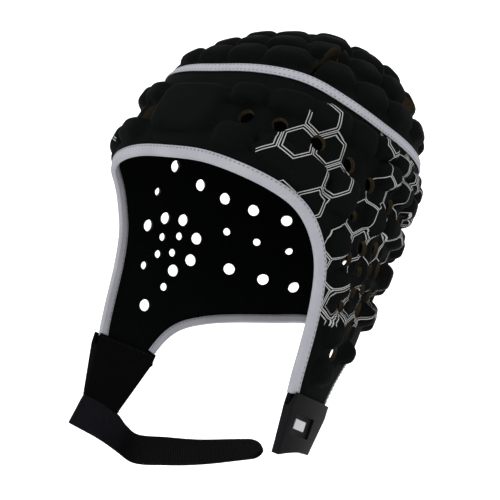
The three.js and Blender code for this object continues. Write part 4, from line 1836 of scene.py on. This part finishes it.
@dataclass
class Sleeve:
    """A sleeve folded over a flap's end, running on as a plate to its foot."""

    end: FlapEnd
    length: float
    spread: float
    foot_width: float
    foot_thickness: float
    sweep: float
    slant: float
    lap: float = 7.5
    skin: float = 1.3
    hollow: float = 0.0
    bulge: float = 0.0
    columns: int = 28
    rows: int = 26

    def foot(self, t: np.ndarray) -> np.ndarray:
        """Length from the flap's end to the foot, at places from the front of the sleeve to its back."""
        return self.length + self.slant * (t - 0.5) - self.hollow * (1 - (2 * t - 1) ** 2)

    def point(self, t: np.ndarray, reach: np.ndarray, offset: np.ndarray) -> Points:
        """Points of the sleeve.

        Args:
            t: From 0 at its front to 1 at its back.
            reach: Distance below the flap's end.
            offset: Distance out of the inner face.

        Returns:
            Points in millimetres.
        """
        places = (np.atleast_1d(np.asarray(x, float)) for x in (t, reach, offset))
        t, reach, offset = np.broadcast_arrays(*places)
        chord = (1 + 2 * self.spread) * t * self.end.width
        front = -(0.5 + self.spread) * self.end.width
        start = FORM.drape(self.end.middle + (front + chord)[:, None] * self.end.along)
        out = FORM.normal(start)
        below = self.end.down * reach[:, None]
        lapped = FORM.drape(start + below, offset)
        slide = (self.sweep - chord * (1 - self.foot_width)) * np.clip(reach / self.length, 0, 1)
        plate = start + self.end.along * slide[:, None] + below + out * offset[:, None]
        return np.where(reach[:, None] <= 0, lapped, plate)

    def build(self, name: str) -> Object:
        """Builds the sleeve as one closed shape.

        Args:
            name: Name of the new object.

        Returns:
            The sleeve.
        """
        inner = -FOLD_CLEARANCE
        rim = EDGE_WALL + FOLD_CLEARANCE
        outer = float(wall_at(self.lap)) + FOLD_CLEARANCE
        half = self.foot_thickness / 2
        # Rows round the section: outer skin down, foot, inner skin up, then the pocket that holds the flap
        down = np.linspace(0, 1, self.rows)
        rows = [(s, 1) for s in down] + [(s, -1) for s in down[::-1]]
        pocket = [(-self.lap, inner), (CLEARANCE, inner), (CLEARANCE, rim), (-self.lap, outer)]
        count = len(rows) + len(pocket)

        def place(u: np.ndarray, v: np.ndarray) -> Points:
            """Points of the sleeve, from front to back and round its section.

            Args:
                u: From 0 at its front to 1 at its back.
                v: From 0 to 1 round the section.

            Returns:
                Points in millimetres.
            """
            index = np.rint(v * count).astype(int) % count
            foot = self.foot(u)
            reach = np.empty_like(u)
            offset = np.empty_like(u)
            for i, (s, face) in enumerate(rows):
                here = index == i
                reach[here] = -self.lap + (foot[here] + self.lap) * s
                hem = outer + self.skin if face > 0 else inner - self.skin
                puff = self.bulge * math.sin(math.pi * s) * np.sin(math.pi * u[here])
                offset[here] = hem + (WALL / 2 + face * half - hem) * s + face * puff
            for i, (r, o) in enumerate(pocket):
                here = index == len(rows) + i
                reach[here] = r
                offset[here] = o
            return self.point(u, reach, offset)

        return mapped_grid(name, self.columns, count, place, cap=True)


@dataclass
class Cuff:
    """Soft sleeve sewn over the end of the wearer's right flap."""

    sleeve: Sleeve
    rounding: float = 0.6
    hem: float = 1.8
    hem_margin: float = 0.03
    hem_points: int = 40
    outer_lift: float = WALL + 0.9
    inner_lift: float = -1.8
    stitch_length: float = 1.9

    def build(self) -> list[Object]:
        """Builds the cuff and its hem stitches.

        Returns:
            The cuff, then its stitches outside and inside.
        """
        cuff = rounded(self.sleeve.build("cuff"), self.rounding)
        cuff.data.materials.append(CUFF_KNIT.make())
        settle(cuff, "strap", "strap_cuff")
        pieces = [cuff]
        t = np.linspace(self.hem_margin, 1 - self.hem_margin, self.hem_points)
        for label, offset in (("outer", self.outer_lift), ("inner", self.inner_lift)):
            path = self.sleeve.point(t, self.hem - self.sleeve.lap, offset)
            out = FORM.normal(path) * (1 if offset > 0 else -1)
            row = stitch_row(f"cuff_stitches_{label}", path, out, DARK_THREAD, length=self.stitch_length)
            pieces.append(settle(row, "strap"))
        return pieces


@dataclass
class Strap:
    """Loop-faced chin strap with a free rounded end."""

    cuff: Sleeve
    width: float = 23.0
    thickness: float = 2.4
    end_radius: float = 10.0
    columns: int = 520
    around: int = 24
    squareness: float = 7.0
    samples: int = 4000
    least_end: float = 0.995
    rib_mm: float = 1.7
    rib_height: float = 0.13
    fuzz_mm: float = 2.4
    fuzz_height: float = 0.22
    seam: float = 1.6
    pile_end: float = 0.2
    pile_fade: float = 0.1
    print_skip: int = 4

    def edges(self) -> tuple[Points, Points]:
        """Knots of the strap's top and low edges, from its root.

        Returns:
            The knots of each edge.
        """
        ends = np.array([0.0, 1.0])
        root = self.cuff.point(ends, self.cuff.foot(ends) + self.thickness / 2 - self.seam, WALL / 2)
        top = np.vstack([root, np.array(STRAP_TOP, float)])
        low = np.vstack([root + np.array(STRAP_ROOT_DROP), np.array(STRAP_LOW, float)])
        return top, low

    def build(self) -> list[Object]:
        """Builds the strap.

        Returns:
            The strap alone.
        """
        top_knots, low_knots = self.edges()
        fine = np.linspace(0, 1, self.samples)
        run = run_along((curve_at(top_knots, fine) + curve_at(low_knots, fine)) / 2)
        length = np.linspace(0, run[-1], self.columns + 1)
        t = np.interp(length, run, fine)
        top = curve_at(top_knots, t)
        low = curve_at(low_knots, t)
        middle = (top + low) / 2
        across = unit(low - top)
        face = unit(np.cross(np.gradient(middle, axis=0), across))
        to_tip = np.linalg.norm(middle - middle[-1], axis=1)
        rounding = np.clip(1 - to_tip / self.end_radius, 0, self.least_end)
        half = self.width / 2 * np.sqrt(1 - rounding**2)
        share = length / run[-1]
        bare = smooth_step((share - self.pile_end) / self.pile_fade)
        ribs = bare * np.sin(length * 2 * math.pi / self.rib_mm) * self.rib_height

        def place(u: np.ndarray, v: np.ndarray) -> Points:
            """Points of the strap, along its length and round its section.

            Args:
                u: From 0 at its root to 1 at its end.
                v: From 0 to 1 round the section.

            Returns:
                Points in millimetres.
            """
            column = np.rint(u * self.columns).astype(int)
            wide, thick = squared_circle(v * 2 * math.pi, self.squareness)
            flat = middle[column] + across[column] * (wide * half[column])[:, None]
            fuzz = ripple(flat, self.fuzz_mm) * self.fuzz_height * (1 - bare[column])
            swell = 1 + (ribs[column] + fuzz) / (self.thickness / 2)
            return flat + face[column] * (thick * self.thickness / 2 * swell)[:, None]

        strap = mapped_grid("chin_strap_pile", self.columns, self.around, place, cap=True)
        points = mesh_points(strap.data)
        stations = middle[:: self.print_skip]
        nearest = np.array([np.argmin(np.sum((stations - point) ** 2, axis=1)) for point in points])
        along = share[:: self.print_skip][nearest]
        add_attribute(strap.data, "print", np.outer(along, (1, 1, 1)))
        strap.data.materials.append(PILE.make())
        settle(strap, "strap", "chin_strap")
        return [strap]


@dataclass
class Tab:
    """Stiff moulded tab on the end of the wearer's left flap, with a recess and a plain badge."""

    sleeve: Sleeve
    recess_width: float = 20.0
    recess_tall: float = 11.5
    recess_depth: float = 1.3
    recess_along: float = -4.0
    badge_width: float = 12.0
    badge_tall: float = 5.5
    badge_thickness: float = 0.8
    badge_along: float = -7.0
    badge_rounding: float = 0.3
    down: float = 8.5
    rounding: float = 0.7
    rounding_steps: int = 3
    cutter_depth: float = 20.0

    def block(self, size: Sequence[float], along: float, offset: float) -> bmesh.types.BMesh:
        """A block square to the tab.

        Args:
            size: Its sizes along the flap's end, down the tab and out.
            along: Distance of its middle along the flap's end.
            offset: Distance of its middle out of the inner face.

        Returns:
            The closed shape.
        """
        end = self.sleeve.end
        shape = bmesh.new()
        origin = self.sleeve.point(0.5, self.down, offset)[0] + end.along * along
        matrix = frame_matrix(origin, (end.along, np.cross(end.out, end.along), end.out))
        bmesh.ops.create_cube(shape, size=1.0, matrix=matrix @ Matrix.Diagonal((*size, 1)))
        return shape

    def build(self) -> list[Object]:
        """Builds the tab and its badge.

        Returns:
            The tab and the badge.
        """
        face = (WALL + self.sleeve.foot_thickness) / 2
        tab = self.sleeve.build("tab_plate")
        floor = face - self.recess_depth
        recess = (self.recess_width, self.recess_tall, self.cutter_depth)
        cut(tab, self.block(recess, self.recess_along, floor + self.cutter_depth / 2))
        rounded(tab, self.rounding, self.rounding_steps)
        tab.data.materials.clear()
        tab.data.materials.append(RUBBER.make())
        settle(tab, "tab", "catch_tab")
        size = (self.badge_width, self.badge_tall, self.badge_thickness)
        lift = floor + CLEARANCE + self.badge_thickness / 2
        badge = to_object("tab_plaque", self.block(size, self.badge_along, lift))
        rounded(badge, self.badge_rounding, self.rounding_steps)
        badge.data.materials.append(BADGE_PLASTIC.make())
        settle(badge, "badge", "tab_badge")
        return [tab, badge]


# Stage


@dataclass(frozen=True)
class Lamp:
    """A soft square light by its azimuth, elevation, distance, size and power."""

    name: str
    azimuth: float
    elevation: float
    distance: float
    size: float
    power: float


@dataclass
class Studio:
    """Pale floor, soft lights and the camera at the photograph's angle."""

    azimuth: float = 41.57
    elevation: float = 0.19
    roll: float = 9.98
    distance: float = 0.6
    lens: float = 67.47
    shift: tuple[float, float] = (-0.0383, 0.0164)
    sensor: float = 36.0
    floor: float = -0.33
    floor_length: float = 6.0
    floor_width: float = 7.0
    floor_near: float = 2.0
    floor_flat: float = 1.4
    floor_bend: float = 1.2
    lamp_aim: float = -0.12
    lamps: tuple[Lamp, ...] = (
        Lamp("key", 10, 48, 1.3, 0.9, 9),
        Lamp("side", 115, 30, 1.3, 0.8, 3),
        Lamp("far_side", -60, 25, 1.5, 0.9, 2),
        Lamp("top", 180, 75, 1.2, 0.8, 3),
    )

    def build(self) -> None:
        """Sets the stage."""
        self.set_floor()
        self.set_lights()
        self.set_camera()

    def set_floor(self) -> None:
        """A floor that curves up into a wall behind the guard."""
        shape = bmesh.new()
        bmesh.ops.create_grid(shape, x_segments=2, y_segments=48, size=0.5)
        angle = math.radians(self.azimuth)
        flat = self.floor_flat
        bend = self.floor_bend
        for vert in shape.verts:
            run = (vert.co.y + 0.5) * self.floor_length - self.floor_near
            turn = min(max((run - flat) / bend, 0), math.pi / 2)
            far = min(run, flat) + bend * math.sin(turn)
            high = bend * (1 - math.cos(turn)) + max(0, run - flat - bend * math.pi / 2)
            side = vert.co.x * self.floor_width
            vert.co = (
                side * math.cos(angle) - far * math.sin(angle),
                side * math.sin(angle) + far * math.cos(angle),
                self.floor + high,
            )
        bmesh.ops.recalc_face_normals(shape, faces=shape.faces)
        floor = to_object("studio_floor", shape)
        floor.data.materials.append(PAPER.make())

    def set_lights(self) -> None:
        """Soft lights and an even white surround."""
        for lamp in self.lamps:
            data = bpy.data.lights.new(lamp.name, "AREA")
            data.energy = lamp.power
            data.size = lamp.size
            light = bpy.data.objects.new(lamp.name, data)
            away = self.direction(lamp.azimuth, lamp.elevation)
            light.location = away * lamp.distance + Vector((0, 0, self.lamp_aim))
            light.rotation_euler = away.to_track_quat("Z", "Y").to_euler()
            bpy.context.scene.collection.objects.link(light)
        world = bpy.data.worlds.new("white_surround")
        world.use_nodes = True
        background = world.node_tree.nodes["Background"]
        background.inputs["Color"].default_value = (1, 1, 1, 1)
        background.inputs["Strength"].default_value = 1.0
        bpy.context.scene.world = world
        bpy.context.scene.view_settings.view_transform = "Standard"

    def set_camera(self) -> None:
        """The camera, turned by the roll that the guard has in the photograph."""
        data = bpy.data.cameras.new("photo_camera")
        data.lens = self.lens
        data.sensor_width = self.sensor
        data.shift_x, data.shift_y = self.shift
        camera = bpy.data.objects.new("photo_camera", data)
        away = self.direction(self.azimuth, self.elevation)
        angle = math.radians(self.azimuth)
        right = Vector((math.cos(angle), math.sin(angle), 0))
        turn = Matrix((right, away.cross(right), away)).transposed().to_4x4()
        ear = Vector(-SEAT * MM)
        roll = Matrix.Rotation(math.radians(self.roll), 4, "Z")
        camera.matrix_world = Matrix.Translation(ear + away * self.distance) @ turn @ roll
        bpy.context.scene.collection.objects.link(camera)
        bpy.context.scene.camera = camera

    @staticmethod
    def direction(azimuth: float, elevation: float) -> Vector:
        """Way from the guard.

        Args:
            azimuth: Turn from the front, in degrees.
            elevation: Angle above the level, in degrees.

        Returns:
            A way of length one.
        """
        turn = math.radians(azimuth)
        rise = math.radians(elevation)
        return Vector((math.sin(turn) * math.cos(rise), -math.cos(turn) * math.cos(rise), math.sin(rise)))


def main() -> None:
    """Builds the guard around its frame, piece by piece."""
    logging.basicConfig(level=logging.INFO, format="%(name)s %(message)s")
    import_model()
    Studio().build()
    wrap = Wrap("wrap_foam", PadRelief(wrap_pads()))
    panel = settle(wrap.build(), "cloth", "wrap_panel")
    dome = settle(Crown("crown_foam", PadRelief(crown_pads())).build(), "cloth", "crown_panel")
    CrownTape().build()
    face = curve_spaced(mirrored(FACE_EDGE, 0), FACE_TAPE_COLUMNS, FACE_TAPE_START)
    EdgeTape("face_tape", "face_binding", face).build()
    nape = curve_spaced(mirrored(NAPE_EDGE, 180), NAPE_TAPE_COLUMNS, NAPE_TAPE_START)
    EdgeTape("nape_tape", "nape_binding", nape).build()
    cuff = Sleeve(
        FlapEnd(Side.RIGHT),
        length=36,
        spread=0.11,
        foot_width=0.59,
        foot_thickness=3,
        sweep=8,
        slant=5,
        bulge=0.8,
    )
    Cuff(cuff).build()
    Strap(cuff).build()
    tab = Sleeve(
        FlapEnd(Side.LEFT),
        length=24.5,
        spread=0.02,
        foot_width=0.8,
        foot_thickness=5,
        sweep=2.5,
        slant=-4.5,
        hollow=1.8,
    )
    Tab(tab).build()


if __name__ == "__main__":
    main()
